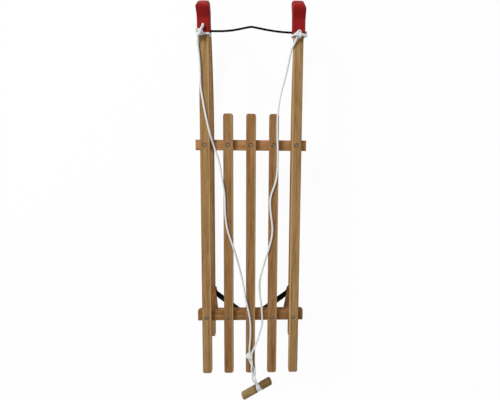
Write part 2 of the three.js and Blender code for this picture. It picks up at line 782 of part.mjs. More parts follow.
function railWrap(side, inset) {
  const outer = side * (railSpread + slatWidth / 2 + wrapOff);
  const inner = side * (railSpread - slatWidth / 2 - wrapOff);
  const inAbout = (x, reach) => x - Math.sign(x - side * railSpread) * reach;
  const top = seatTop + wrapOff;
  const bottom = crossbarTop - wrapOff;
  const knot = railKnotPlace(side, inset);
  const bend = cordRadius + wrapOff / 2;
  const corner = bend * (1 - Math.SQRT1_2);
  const points = [
    [knot.x, top],
    [inAbout(inner, bend), top],
    [inAbout(inner, corner), top - corner],
    [inner, top - bend],
    [inner, bottom + bend],
    [inAbout(inner, corner), bottom + corner],
    [inAbout(inner, bend), bottom],
    [inAbout(outer, bend), bottom],
    [inAbout(outer, corner), bottom + corner],
    [outer, bottom + bend],
    [outer, top - bend],
    [inAbout(outer, corner), top - corner],
    [inAbout(outer, bend), top],
    [knot.x, top + fit],
  ];
  return cordRun(points.map(([x, z]) => [x, wrapY, z]));
}

const knotInsets = { left: 6, right: 14.7 };
for (const [name, side] of Object.entries(sides)) {
  const place = railKnotPlace(side, knotInsets[name]);
  const knot = lump(place, railKnotWidth, railKnotLength, railKnotHeight);
  addPiece(`rail_knot_${name}`, knot.add(railWrap(side, knotInsets[name])), whiteCord);
}

// The lower knot on the middle slat joins both strands.
const endKnotAt = [-0.7, -527.4];
const endKnotPlace = new THREE.Vector3(...endKnotAt, seatTop + fit + endKnotHeight / 2);
addPiece("cord_end_knot", lump(endKnotPlace, endKnotWidth, endKnotWidth, endKnotHeight), whiteCord);

// The strands meet the knots face to face: each ends on a grown lump of the knot.
function trimmedAtRail(solid, side, inset) {
  const grown = 2 * fit;
  const place = railKnotPlace(side, inset);
  return solid.subtract(lump(place, railKnotWidth + grown, railKnotLength + grown, railKnotHeight + grown));
}

function trimmedAtEnd(solid) {
  const grown = 2 * fit;
  return solid.subtract(lump(endKnotPlace, endKnotWidth + grown, endKnotWidth + grown, endKnotHeight + grown));
}

// Left strand: down the rail, over the front crossbar, along the second slat and over to the middle one
const leftStrand = [
  [-152, 473, 238.5],
  [-156.5, 461, 234.6],
  [-157.4, 448, 231.8],
  [-154.6, 426, 231.4],
  [-151.4, 380, 231.4],
  [-149.8, 325, 231.4],
  [-145.6, 297, 231.4],
  [-139.9, 262, 231.4],
  [-131, 218, 231.5],
  [-124.6, 190, 231.5],
  [-119.6, 169, 225],
  [-114.6, 150, 218],
  [-101, 108, 216.8],
  [-94, 76, 221],
  [-89.4, 52, 229.6],
  [-85.4, 32, 231.8],
  [-80.6, -2, 231.4],
  [-79, -60, 231.4],
  [-72, -111, 231.4],
  [-61, -147, 231.5],
  [-54.4, -167, 231.7],
  [-48.4, -188, 227.5],
  [-38, -234, 215.5],
  [-27.3, -283, 212.5],
  [-21, -312, 220],
  [-17.4, -331, 229.8],
  [-12.4, -351, 231.8],
  [-1.2, -408, 231.4],
  [0.3, -460, 231.4],
  [-2.6, -505, 231.4],
  [-2, -521, 235],
];

// Right strand: sags to the fourth slat, crosses it, dips on to the rear crossbar and rises to the middle slat
const rightStrand = [
  [136, 472, 238.5],
  [131, 462, 235],
  [126, 451, 232],
  [120.6, 440, 229],
  [111, 395, 214],
  [102, 353, 208.5],
  [92.6, 320, 210.5],
  [86.2, 290, 218],
  [82.4, 265, 228.6],
  [80.8, 249, 232],
  [79.8, 205, 231.4],
  [82, 100, 231.4],
  [77.5, 46, 231.4],
  [61.4, -8, 231.4],
  [60.6, -40, 231.4],
  [68, -110, 231.4],
  [64.5, -142, 231.4],
  [56, -175, 231.7],
  [50, -197, 227.5],
  [42.6, -228, 217.5],
  [30, -283, 211.5],
  [29.8, -326, 212.4],
  [36.4, -382, 216.6],
  [38, -424, 216.8],
  [32, -453, 220.5],
  [23.4, -478, 228],
  [14.4, -499, 232],
  [4, -520, 235.5],
];

// Two strands from the end knot: over the rear of the slat, down to the ground and back to the grip
const gripStrandUnder = [
  [-3.8, -533, 235],
  [-2, -547, 231.6],
  [4, -561, 231.4],
  [12.4, -577, 231.4],
  [15.4, -591.5, 231.4],
  [15.8, -597.5, 229.8],
  [15.5, -601.9, 225.4],
  [15.1, -603.5, 219.3],
  [9, -603.5, 120],
  [3, -603.5, 15.4],
  [2.8, -605.1, 9.4],
  [2.6, -609.5, 5],
  [2.2, -616, 3.4],
  [1, -670, 3.4],
  [1.5, -730, 3.4],
  [3.2, -775, 3.4],
];

const gripStrandOver = [
  [3, -533, 236],
  [4.8, -546, 233.4],
  [5.8, -557, 237],
  [4.6, -567, 238.6],
  [4.8, -579, 235.2],
  [8.8, -591.5, 231.6],
  [9.3, -597.5, 229.8],
  [9, -601.9, 225.4],
  [8.6, -603.5, 219.3],
  [2.4, -603.5, 120],
  [-3.6, -603.5, 15.4],
  [-3.7, -605.1, 9.4],
  [-4, -609.5, 5],
  [-4.4, -616, 3.4],
  [-5.4, -660, 3.4],
  [-5.8, -684, 4.4],
  [-4.6, -700, 8],
  [-1, -714, 10],
  [4.2, -730, 10.6],
  [8.8, -748, 7.6],
  [9.6, -762, 6],
  [10.4, -775, 10.5],
  [13.6, -784.5, 18.6],
];

// Grip: a turned wooden bar with a groove in the middle that the cord lies in
const gripRadius = gripDiameter / 2;
const gripHalf = gripLength / 2;
const gripTrim = gripEndRound * (1 - Math.SQRT1_2);
const hitchPitch = cordDiameter + hitchGap;
const grooveHalf = (hitchPitch * hitchTurns) / 2 + cordRadius + fit;
const grooveRadius = gripRadius - cordDiameter - 2 * fit;
const hitchRadius = grooveRadius + fit + cordRadius;
const grooveStart = hitchFromMiddle - grooveHalf;
const grooveEnd = hitchFromMiddle + grooveHalf;
const gripProfile = [
  [0, -gripHalf],
  [gripRadius - gripEndRound, -gripHalf],
  [gripRadius - gripTrim, gripTrim - gripHalf],
  [gripRadius, gripEndRound - gripHalf],
  [gripRadius, grooveStart],
  [grooveRadius, grooveStart],
  [grooveRadius, grooveEnd],
  [gripRadius, grooveEnd],
  [gripRadius, gripHalf - gripEndRound],
  [gripRadius - gripTrim, gripHalf - gripTrim],
  [gripRadius - gripEndRound, gripHalf],
  [0, gripHalf],
].map(([radius, along]) => new THREE.Vector2(radius, along));
const gripAxis = new THREE.Vector3(Math.cos(gripTurn), Math.sin(gripTurn), 0);
const gripAcross = new THREE.Vector3(-Math.sin(gripTurn), Math.cos(gripTurn), 0);
const gripCentre = new THREE.Vector3(gripPlaceX, gripPlaceY, gripRadius);
const grip = new THREE.LatheGeometry(gripProfile, 20);
grip.applyQuaternion(new THREE.Quaternion().setFromUnitVectors(axisY, gripAxis));
addPiece("pull_grip", solidOf(grip.translate(gripCentre.x, gripCentre.y, gripCentre.z)), gripWood);

// Hitch: in under the grip, two and a half turns in the groove, and out over the top
function hitchPoint(turns) {
  const angle = turns * 2 * Math.PI;
  return gripCentre
    .clone()
    .addScaledVector(gripAxis, hitchFromMiddle + (turns - hitchTurns / 2) * hitchPitch)
    .addScaledVector(gripAcross, -hitchRadius * Math.sin(angle))
    .addScaledVector(axisZ, -hitchRadius * Math.cos(angle));
}

const stepsPerTurn = 24;
const hitchSteps = stepsPerTurn * hitchTurns;
const hitchPoints = [];
for (let i = 0; i <= hitchSteps; i++) hitchPoints.push(hitchPoint(i / stepsPerTurn));
const hitchRunOut = gripRadius + cordDiameter;

function besideGrip(point, reach) {
  return point.clone().addScaledVector(gripAcross, reach);
}

const hitchStart = hitchPoints[0];
const hitchEnd = hitchPoints[hitchSteps];
const hitchLine = [besideGrip(hitchStart, hitchRunOut), ...hitchPoints, besideGrip(hitchEnd, hitchRunOut)];

// Rings square to the line, each turned least from the one before
function wireRings(points, radius, count) {
  const rings = [];
  let normal = axisZ.clone();
  points.forEach((point, i) => {
    const before = points[Math.max(i - 1, 0)];
    const after = points[Math.min(i + 1, points.length - 1)];
    const along = after.clone().sub(before).normalize();
    normal = normal.addScaledVector(along, -normal.dot(along)).normalize();
    const across = along.clone().cross(normal);
    const ring = [];
    for (let j = 0; j < count; j++) {
      const angle = (-2 * Math.PI * j) / count;
      const lift = point.clone().addScaledVector(normal, radius * Math.cos(angle));
      ring.push(lift.addScaledVector(across, radius * Math.sin(angle)));
    }
    rings.push(ring);
  });
  return rings;
}

// The least distance between surface points half a turn or more apart along the tube
function leastGap(rings) {
  let least = Infinity;
  for (let i = 0; i < rings.length; i++) {
    for (let k = i + stepsPerTurn / 2; k < rings.length; k++) {
      for (const a of rings[i]) {
        for (const b of rings[k]) least = Math.min(least, a.distanceTo(b));
      }
    }
  }
  return least;
}

const hitchRings = wireRings(hitchLine, cordRadius, 6);
addPiece("grip_hitch", loft(hitchRings), whiteCord);
console.log(`hitch: least gap between its surface points ${leastGap(hitchRings).toFixed(2)} mm`);

// Each strand meets its end of the hitch face to face, in line with it.
const meetReach = hitchRunOut + fit;
const leadReach = meetReach + 2 * cordDiameter;

function gripRun(points, hitchPlace) {
  const lead = besideGrip(hitchPlace, leadReach);
  const end = besideGrip(hitchPlace, meetReach);
  return cordRun([...points, lead.toArray(), end.toArray()]);
}

const runs = {
  cord_left: trimmedAtRail(cordRun(leftStrand), sides.left, knotInsets.left),
  cord_right: trimmedAtRail(cordRun(rightStrand), sides.right, knotInsets.right),
  cord_to_grip_under: gripRun(gripStrandUnder, hitchStart),
  cord_to_grip_over: gripRun(gripStrandOver, hitchEnd),
};
for (const [name, run] of Object.entries(runs)) {
  addPiece(name, trimmedAtEnd(run), whiteCord);
}

export default sledge;
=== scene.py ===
# A wooden sledge, seen from above with its pull cord lying on the seat.
# Metres, +Z up, +Y towards the horns, +X towards the right side.
import math
import bmesh
import bpy
from mathutils import Matrix, Vector


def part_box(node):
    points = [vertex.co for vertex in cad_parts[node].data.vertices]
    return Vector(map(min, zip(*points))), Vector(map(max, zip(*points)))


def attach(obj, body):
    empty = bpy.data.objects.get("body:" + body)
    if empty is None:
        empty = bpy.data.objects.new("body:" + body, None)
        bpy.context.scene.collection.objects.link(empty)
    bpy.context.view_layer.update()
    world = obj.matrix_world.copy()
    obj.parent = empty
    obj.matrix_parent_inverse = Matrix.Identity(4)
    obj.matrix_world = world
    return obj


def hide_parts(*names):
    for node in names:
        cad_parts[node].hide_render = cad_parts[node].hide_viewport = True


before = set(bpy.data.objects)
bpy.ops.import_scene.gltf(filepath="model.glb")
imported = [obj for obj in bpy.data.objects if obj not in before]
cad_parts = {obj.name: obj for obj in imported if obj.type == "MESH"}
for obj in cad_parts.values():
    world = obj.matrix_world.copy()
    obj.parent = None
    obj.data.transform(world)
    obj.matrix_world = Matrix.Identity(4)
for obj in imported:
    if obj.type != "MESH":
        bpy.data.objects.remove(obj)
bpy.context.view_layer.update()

# Camera: above the middle of the sledge and close, so the near seat looks wider than
# the ground. Its picture is 500 by 400, its focal length is 310 of those 500, and the shift
# puts its axis where the photo has it.
camera_data = bpy.data.cameras.new("camera")
camera_data.sensor_width = 36
camera_data.lens = 310 / 500 * 36
camera_data.shift_x = -19.15 / 500
camera_data.shift_y = -29.52 / 500
camera = bpy.data.objects.new("camera", camera_data)
camera.location = (0.0244, 0.1688, 1.1777)
camera.rotation_euler = (-0.0983, -0.0324, 0.0090)
bpy.context.collection.objects.link(camera)
bpy.context.scene.camera = camera

# Pull cord: 6 mm braided polyester, limp and white. It is tied to both rails, joined by a
# knot on the middle slat, and runs double from there over the slat's end to its grip. Where it
# goes round a piece of wood it lies 0.3 mm off it.
CORD = 0.006
CORD_GAP = 0.0003


def mm(points):
    return [Vector(point) / 1000 for point in points]


def smooth_line(points, step):
    """Evenly spaced places on the smooth curve through the points."""
    parts = 32
    first = 2 * points[0] - points[1]
    last = 2 * points[-1] - points[-2]
    chain = [first, *points, last]
    dense = [points[0]]
    for a, b, c, d in zip(chain, chain[1:], chain[2:], chain[3:]):
        gap_ab, gap_bc, gap_cd = ((q - p).length ** 0.5 for p, q in ((a, b), (b, c), (c, d)))
        out = ((b - a) / gap_ab - (c - a) / (gap_ab + gap_bc) + (c - b) / gap_bc) * gap_bc
        into = ((c - b) / gap_bc - (d - b) / (gap_bc + gap_cd) + (d - c) / gap_cd) * gap_bc
        for i in range(1, parts + 1):
            t = i / parts
            dense.append(
                b * (2 * t**3 - 3 * t**2 + 1) + out * (t**3 - 2 * t**2 + t)
                + c * (3 * t**2 - 2 * t**3) + into * (t**3 - t**2)
            )
    run = [0.0]
    for p, q in zip(dense, dense[1:]):
        run.append(run[-1] + (q - p).length)
    count = max(round(run[-1] / step), 2)
    line, i = [], 0
    for k in range(count + 1):
        goal = run[-1] * k / count
        while i < len(run) - 2 and run[i + 1] < goal:
            i += 1
        line.append(dense[i].lerp(dense[i + 1], (goal - run[i]) / max(run[i + 1] - run[i], 1e-9)))
    return line


def tube(name, line, diameter, sides=16):
    """A round tube on a line, closed at both ends, with a UV map that runs along it."""
    radius = diameter / 2
    normal = Vector((0, 0, 1))
    verts, uvs, run = [], [], 0.0
    for i, place in enumerate(line):
        along = (line[min(i + 1, len(line) - 1)] - line[max(i - 1, 0)]).normalized()
        if abs(along.dot(normal)) > 0.999:
            normal = Vector((1, 0, 0))
        normal = (normal - along * normal.dot(along)).normalized()
        across = along.cross(normal)
        if i:
            run += (place - line[i - 1]).length
        for j in range(sides):
            turn = 2 * math.pi * j / sides
            verts.append(place + radius * (math.cos(turn) * normal + math.sin(turn) * across))
        uvs.append(run / (math.pi * diameter))
    faces, corners = [], []
    for i in range(len(line) - 1):
        for j in range(sides):
            k = (j + 1) % sides
            faces.append((i * sides + j, i * sides + k, (i + 1) * sides + k, (i + 1) * sides + j))
            low, high = j / sides, (j + 1) / sides
            corners += [(low, uvs[i]), (high, uvs[i]), (high, uvs[i + 1]), (low, uvs[i + 1])]
    end = (len(line) - 1) * sides
    faces.append(tuple(range(sides - 1, -1, -1)))
    faces.append(tuple(range(end, end + sides)))
    corners += [(0.5, 0.0)] * sides + [(0.5, uvs[-1])] * sides
    mesh = bpy.data.meshes.new(name)
    mesh.from_pydata(verts, [], faces)
    layer = mesh.uv_layers.new(name="UVMap")
    for loop, corner in zip(layer.data, corners):
        loop.uv = corner
    mesh.polygons.foreach_set("use_smooth", [True] * len(faces))
    piece = bpy.data.objects.new(name, mesh)
    bpy.context.collection.objects.link(piece)
    return piece


def colour(text):
    """A colour as the eye sees it, such as a08050, turned to the linear values of light."""
    shares = [int(text[i : i + 2], 16) / 255 for i in (0, 2, 4)]
    return tuple(s / 12.92 if s <= 0.04045 else ((s + 0.055) / 1.055) ** 2.4 for s in shares) + (1.0,)


def add_node(material, kind, inputs=(), stops=(), **settings):
    """Adds a node. A value among its inputs is set and a socket is linked. Stops are a ramp's
    pairs of place and colour."""
    node = material.node_tree.nodes.new(kind)
    for key, value in settings.items():
        setattr(node, key, value)
    for key, value in dict(inputs).items():
        if isinstance(value, bpy.types.NodeSocket):
            material.node_tree.links.new(value, node.inputs[key])
        else:
            node.inputs[key].default_value = value
    if stops:
        elements = node.color_ramp.elements
        while len(elements) < len(stops):
            elements.new(0.5)
        for element, (place, shade) in zip(elements, stops):
            element.position = place
            element.color = colour(shade)
    return node


def new_material(name):
    material = bpy.data.materials.new(name)
    material.use_nodes = True
    material.node_tree.nodes.clear()
    return material


def braided_polyester():
    """Braided polyester cord: eight plaits each way, so little lozenges 2.4 mm apart, dull white."""
    material = new_material("braided_polyester_cord")
    plaits = 8
    uv = add_node(material, "ShaderNodeUVMap", uv_map="UVMap").outputs["UV"]
    waves = []
    for lean in (plaits, -plaits):
        line = add_node(material, "ShaderNodeVectorMath", {0: uv, 1: (plaits, lean, 0)},
                        operation="DOT_PRODUCT").outputs["Value"]
        turn = add_node(material, "ShaderNodeMath", {0: line, 1: 2 * math.pi},
                        operation="MULTIPLY").outputs[0]
        waves.append(add_node(material, "ShaderNodeMath", {0: turn}, operation="SINE").outputs[0])
    crossing = add_node(material, "ShaderNodeMath", {0: waves[0], 1: waves[1]},
                        operation="MULTIPLY").outputs[0]
    height = add_node(material, "ShaderNodeMapRange",
                      {"Value": crossing, "From Min": -1.0}).outputs["Result"]
    # The braid's dips are painted a little darker than its crowns: painted shade in its hollows
    tone = add_node(material, "ShaderNodeValToRGB", {"Fac": height},
                    stops=((0.0, "d3d6d7"), (0.45, "dfe2e2"), (1.0, "e8eaea"))).outputs["Color"]
    bump = add_node(material, "ShaderNodeBump",
                    {"Strength": 0.35, "Distance": 0.0004, "Height": height})
    shader = add_node(material, "ShaderNodeBsdfPrincipled", {
        "Base Color": tone, "Roughness": 0.75, "Specular IOR Level": 0.1, "Sheen Weight": 0.05,
        "Sheen Roughness": 0.4, "Normal": bump.outputs["Normal"]})
    add_node(material, "ShaderNodeOutputMaterial", {"Surface": shader.outputs["BSDF"]})
    return material


cord_finish = braided_polyester()

left_points = mm([
    (-152, 473, 238.5), (-156.5, 461, 234.6), (-157.4, 448, 231.8), (-154.6, 426, 231.4),
    (-151.4, 380, 231.4), (-149.8, 325, 231.4), (-145.6, 297, 231.4), (-139.9, 262, 231.4),
    (-131, 218, 231.5), (-124.6, 190, 231.5), (-119.6, 169, 225), (-114.6, 150, 218),
    (-101, 108, 216.8), (-94, 76, 221), (-89.4, 52, 229.6), (-85.4, 32, 231.8), (-80.6, -2, 231.4),
    (-79, -60, 231.4), (-72, -111, 231.4), (-61, -147, 231.5), (-54.4, -167, 231.7),
    (-48.4, -188, 227.5), (-38, -234, 215.5), (-27.3, -283, 212.5), (-21, -312, 220),
    (-17.4, -331, 229.8), (-12.4, -351, 231.8), (-1.2, -408, 231.4), (0.3, -460, 231.4),
    (-2.6, -505, 231.4), (-2, -521, 235),
])
right_points = mm([
    (136, 472, 238.5), (131, 462, 235), (126, 451, 232), (120.6, 440, 229), (111, 395, 214),
    (102, 353, 208.5), (92.6, 320, 210.5), (86.2, 290, 218), (82.4, 265, 228.6), (80.8, 249, 232),
    (79.8, 205, 231.4), (82, 100, 231.4), (77.5, 46, 231.4), (61.4, -8, 231.4), (60.6, -40, 231.4),
    (68, -110, 231.4), (64.5, -142, 231.4), (56, -175, 231.7), (50, -197, 227.5),
    (42.6, -228, 217.5), (30, -283, 211.5), (29.8, -326, 212.4), (36.4, -382, 216.6),
    (38, -424, 216.8), (32, -453, 220.5), (23.4, -478, 228), (14.4, -499, 232), (4, -520, 235.5),
])
under_points = mm([
    (-3.8, -533, 235), (-2, -547, 231.6), (4, -561, 231.4), (12.4, -577, 231.4),
    (15.4, -591.5, 231.4), (15.8, -597.5, 229.8), (15.5, -601.9, 225.4), (15.1, -603.5, 219.3),
    (9, -603.5, 120), (3, -603.5, 15.4), (2.8, -605.1, 9.4), (2.6, -609.5, 5), (2.2, -616, 3.4),
    (1, -670, 3.4), (1.5, -730, 3.4), (3.2, -775, 3.4),
])
over_points = mm([
    (3, -533, 236), (4.8, -546, 233.4), (5.8, -557, 237), (4.6, -567, 238.6), (4.8, -579, 235.2),
    (8.8, -591.5, 231.6), (9.3, -597.5, 229.8), (9, -601.9, 225.4), (8.6, -603.5, 219.3),
    (2.4, -603.5, 120), (-3.6, -603.5, 15.4), (-3.7, -605.1, 9.4), (-4, -609.5, 5),
    (-4.4, -616, 3.4), (-5.4, -660, 3.4), (-5.8, -684, 4.4), (-4.6, -700, 8), (-1, -714, 10),
    (4.2, -730, 10.6), (8.8, -748, 7.6), (9.6, -762, 6), (10.4, -775, 10.5), (13.6, -784.5, 18.6),
])

# Where the double cord meets the grip, in line with the two ends of the winding on it
GRIP_TURN = math.radians(30.6)
GRIP_RADIUS = 0.015
GRIP_LENGTH = 0.130
grip_centre = Vector((0.020, -0.831, GRIP_RADIUS))
grip_axis = Vector((math.cos(GRIP_TURN), math.sin(GRIP_TURN), 0))
grip_across = Vector((-math.sin(GRIP_TURN), math.cos(GRIP_TURN), 0))
HITCH_TURNS = 2.5
HITCH_MIDDLE = 0.010
TURN_GAP = 0.0008
HITCH_PITCH = CORD + TURN_GAP
GROOVE_RADIUS = GRIP_RADIUS - CORD - 2 * CORD_GAP
HITCH_RADIUS = GROOVE_RADIUS + CORD_GAP + CORD / 2


def hitch_point(turns):
    """A place on the winding's line, so many turns from where it comes in under the grip."""
    angle = 2 * math.pi * turns
    along = HITCH_MIDDLE + (turns - HITCH_TURNS / 2) * HITCH_PITCH
    round_it = Vector((0, 0, -math.cos(angle))) - grip_across * math.sin(angle)
    return grip_centre + grip_axis * along + round_it * HITCH_RADIUS


hitch_reach = GRIP_RADIUS + CORD
for points, turns in ((under_points, 0), (over_points, HITCH_TURNS)):
    for reach in (hitch_reach + CORD_GAP + 2 * CORD, hitch_reach + CORD_GAP):
        points.append(hitch_point(turns) + grip_across * reach)

strands = {}
for name, points in (
    ("cord_left", left_points),
    ("cord_right", right_points),
    ("cord_to_grip_under", under_points),
    ("cord_to_grip_over", over_points),
):
    line = smooth_line(points, step=0.0018)
    strand = tube(name + "_strand", line, CORD)
    strand.data.materials.append(cord_finish)
    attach(strand, "root")
    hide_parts(name)
    strands[name] = (strand, line)

# Winding on the grip: two and a half close turns of the same cord in the grip's groove.
# It comes in under the grip and goes out over its top, back towards the sledge.
wound_steps = 120
lead_steps = 8
hitch_line = [hitch_point(HITCH_TURNS * i / wound_steps) for i in range(wound_steps + 1)]
for i in range(1, lead_steps + 1):
    hitch_line.insert(0, hitch_point(0) + grip_across * hitch_reach * i / lead_steps)
    hitch_line.append(hitch_point(HITCH_TURNS) + grip_across * hitch_reach * i / lead_steps)
grip_winding = tube("grip_winding", hitch_line, CORD)
grip_winding.data.materials.append(cord_finish)
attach(grip_winding, "root")
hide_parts("grip_hitch")


# Knots: the cord is tied in a tight overhand knot. One sits on each rail, where the cord goes
# once round the wood close behind the cap, and one joins both strands on the middle slat.
def pulled_tight():
    """The same braid where it is tied: plaits 2.2 mm apart bunch up and shade each other."""
    material = new_material("braided_polyester_knot")
    place = add_node(material, "ShaderNodeTexCoord").outputs["Object"]
    plaits = add_node(material, "ShaderNodeTexVoronoi", {"Vector": place, "Scale": 1 / 0.0022})
    tone = add_node(material, "ShaderNodeValToRGB", {"Fac": plaits.outputs["Distance"]},
                    stops=((0.0, "e9ebea"), (0.6, "dcdfde"), (1.0, "bfc3c3"))).outputs["Color"]
    bump = add_node(material, "ShaderNodeBump", {
        "Strength": 0.5, "Distance": 0.0004, "Height": plaits.outputs["Distance"]}, invert=True)
    shader = add_node(material, "ShaderNodeBsdfPrincipled", {
        "Base Color": tone, "Roughness": 0.75, "Specular IOR Level": 0.1, "Sheen Weight": 0.05,
        "Sheen Roughness": 0.4, "Normal": bump.outputs["Normal"]})
    add_node(material, "ShaderNodeOutputMaterial", {"Surface": shader.outputs["BSDF"]})
    return material


knot_finish = pulled_tight()


def overhand(centre, size, turn):
    """The closed loop of a tight overhand knot in a box of that size, turned about +Z. Its
    bare curve is six units wide each way."""
    steps = 96
    bare_width = 6
    reach = [(side - CORD) / bare_width for side in size]
    line = []
    for i in range(steps + 1):
        t = 2 * math.pi * i / steps
        place = Vector((math.sin(t) + 2 * math.sin(2 * t), math.cos(t) - 2 * math.cos(2 * t),
                        -3 * math.sin(3 * t)))
        place = Vector(r * v for r, v in zip(reach, place))
        line.append(centre + Matrix.Rotation(turn, 3, "Z") @ place)
    return line


def pick(*pieces):
    """Selects just these pieces, with the first of them active."""
    bpy.ops.object.select_all(action="DESELECT")
    for piece in pieces:
        piece.select_set(True)
    bpy.context.view_layer.objects.active = pieces[0]


def shape_with(kind, **settings):
    """Gives the active piece a modifier with its settings, and applies it."""
    bpy.ops.object.modifier_add(type=kind)
    modifier = bpy.context.object.modifiers[-1]
    for key, value in settings.items():
        setattr(modifier, key, value)
    bpy.ops.object.modifier_apply(modifier=modifier.name)


def one_skin(name, parts):
    """Joins tubes that run into each other into one closed, smooth skin."""
    pick(*parts)
    bpy.ops.object.join()
    skin = bpy.context.object
    skin.name = skin.data.name = name
    shape_with("REMESH", mode="VOXEL", voxel_size=0.0005)
    shape_with("SMOOTH", iterations=2)
    bpy.ops.object.shade_smooth()
    return skin


RAIL_X = 0.140
RAIL_HALF = 0.015
RAIL_TOP = 0.228
RAIL_UNDER = 0.213
CAP_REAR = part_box("tip_cap_left")[0][1]
CAP_TOP = 0.2323
# The knot lies a little left of where the cord crosses the rail, and its frayed tail is thicker
FRAYED = 1.25
KNOT_LEFT = 0.0022
KNOT_RISE = 0.0086
wrap_y = CAP_REAR - CORD / 2 - CORD_GAP
off = CORD / 2 + CORD_GAP
top, under = RAIL_TOP + off, RAIL_UNDER - off
bend = 0.0045
corner = bend * (1 - math.sqrt(0.5))
tails = {
    "left": mm([(-149, 479, 241), (-145.5, 486, 241.4), (-141, 494, 239.4), (-139.6, 502, 237.2)]),
    "right": mm([(146, 477, 240), (152, 476, 240), (158, 474.5, 238.4), (163, 473.5, 236.4)]),
}
knots = {}
for name, side, inset in (("left", -1, 0.006), ("right", 1, 0.0147)):
    outer, inner = side * (RAIL_X + RAIL_HALF + off), side * (RAIL_X - RAIL_HALF - off)
    knot_x = side * (RAIL_X + RAIL_HALF - inset)
    loop = []
    for x, z in ((knot_x, top), (inner + side * bend, top), (inner + side * corner, top - corner),
                 (inner, top - bend), (inner, under + bend), (inner + side * corner, under + corner),
                 (inner + side * bend, under), (outer - side * bend, under),
                 (outer - side * corner, under + corner), (outer, under + bend),
                 (outer, top - bend), (outer - side * corner, top - corner),
                 (outer - side * bend, top), (knot_x, top + CORD_GAP)):
        loop.append(Vector((x, wrap_y, z)))
    round_rail = tube("round_rail", smooth_line(loop, step=0.0012), CORD)
    middle = Vector((knot_x - KNOT_LEFT, wrap_y + CORD_GAP, CAP_TOP + KNOT_RISE))
    knot = tube("knot", overhand(middle, (0.027, 0.0245, 0.0165), 0.5 * side), CORD)
    core = tube("core", overhand(middle, (0.0195, 0.0175, 0.013), 1.5 * side), CORD)
    end = tube("tail", smooth_line(tails[name], step=0.0012), CORD * FRAYED)
    tied = one_skin(f"rail_knot_{name}_tied", [round_rail, knot, core, end])
    tied.data.materials.append(knot_finish)
    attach(tied, "root")
    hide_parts(f"rail_knot_{name}")
    knots[name] = tied

# The joining knot: two rounds of tight turns, and a third that bulges out to the left
joint_centre = Vector((-0.0007, -0.5274, RAIL_TOP + 0.0079))
first_turns = tube("first_turns", overhand(joint_centre, (0.0245, 0.0255, 0.0145), 0.3), CORD)
second_turns = tube("second_turns", overhand(joint_centre, (0.019, 0.0185, 0.0125), 1.2), CORD)
lobe = joint_centre + Vector((-0.0065, -0.001, 0))
third_turns = tube("third_turns", overhand(lobe, (0.0145, 0.0185, 0.0125), 2.0), CORD)
joining_knot = one_skin("cord_joining_knot", [first_turns, second_turns, third_turns])
joining_knot.data.materials.append(knot_finish)
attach(joining_knot, "root")
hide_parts("cord_end_knot")


# Grip: a turned beech bar with rounded ends and a groove in its middle, bare and weathered,
# darker where hands have held it. The cord lies in the groove.
def fibres(material, along, width, length, detail=4.0):
    """Noise drawn out along one axis, as wood fibres are, from their width and length."""
    place = add_node(material, "ShaderNodeTexCoord").outputs["Object"]
    scale = [1 / width] * 3
    scale["XYZ".index(along)] = 1 / length
    mapped = add_node(material, "ShaderNodeMapping", {"Vector": place, "Scale": scale})
    noise = add_node(material, "ShaderNodeTexNoise", {
        "Vector": mapped.outputs["Vector"], "Scale": 1.0, "Detail": detail, "Roughness": 0.6,
        "Distortion": 0.4})
    return noise.outputs["Fac"]


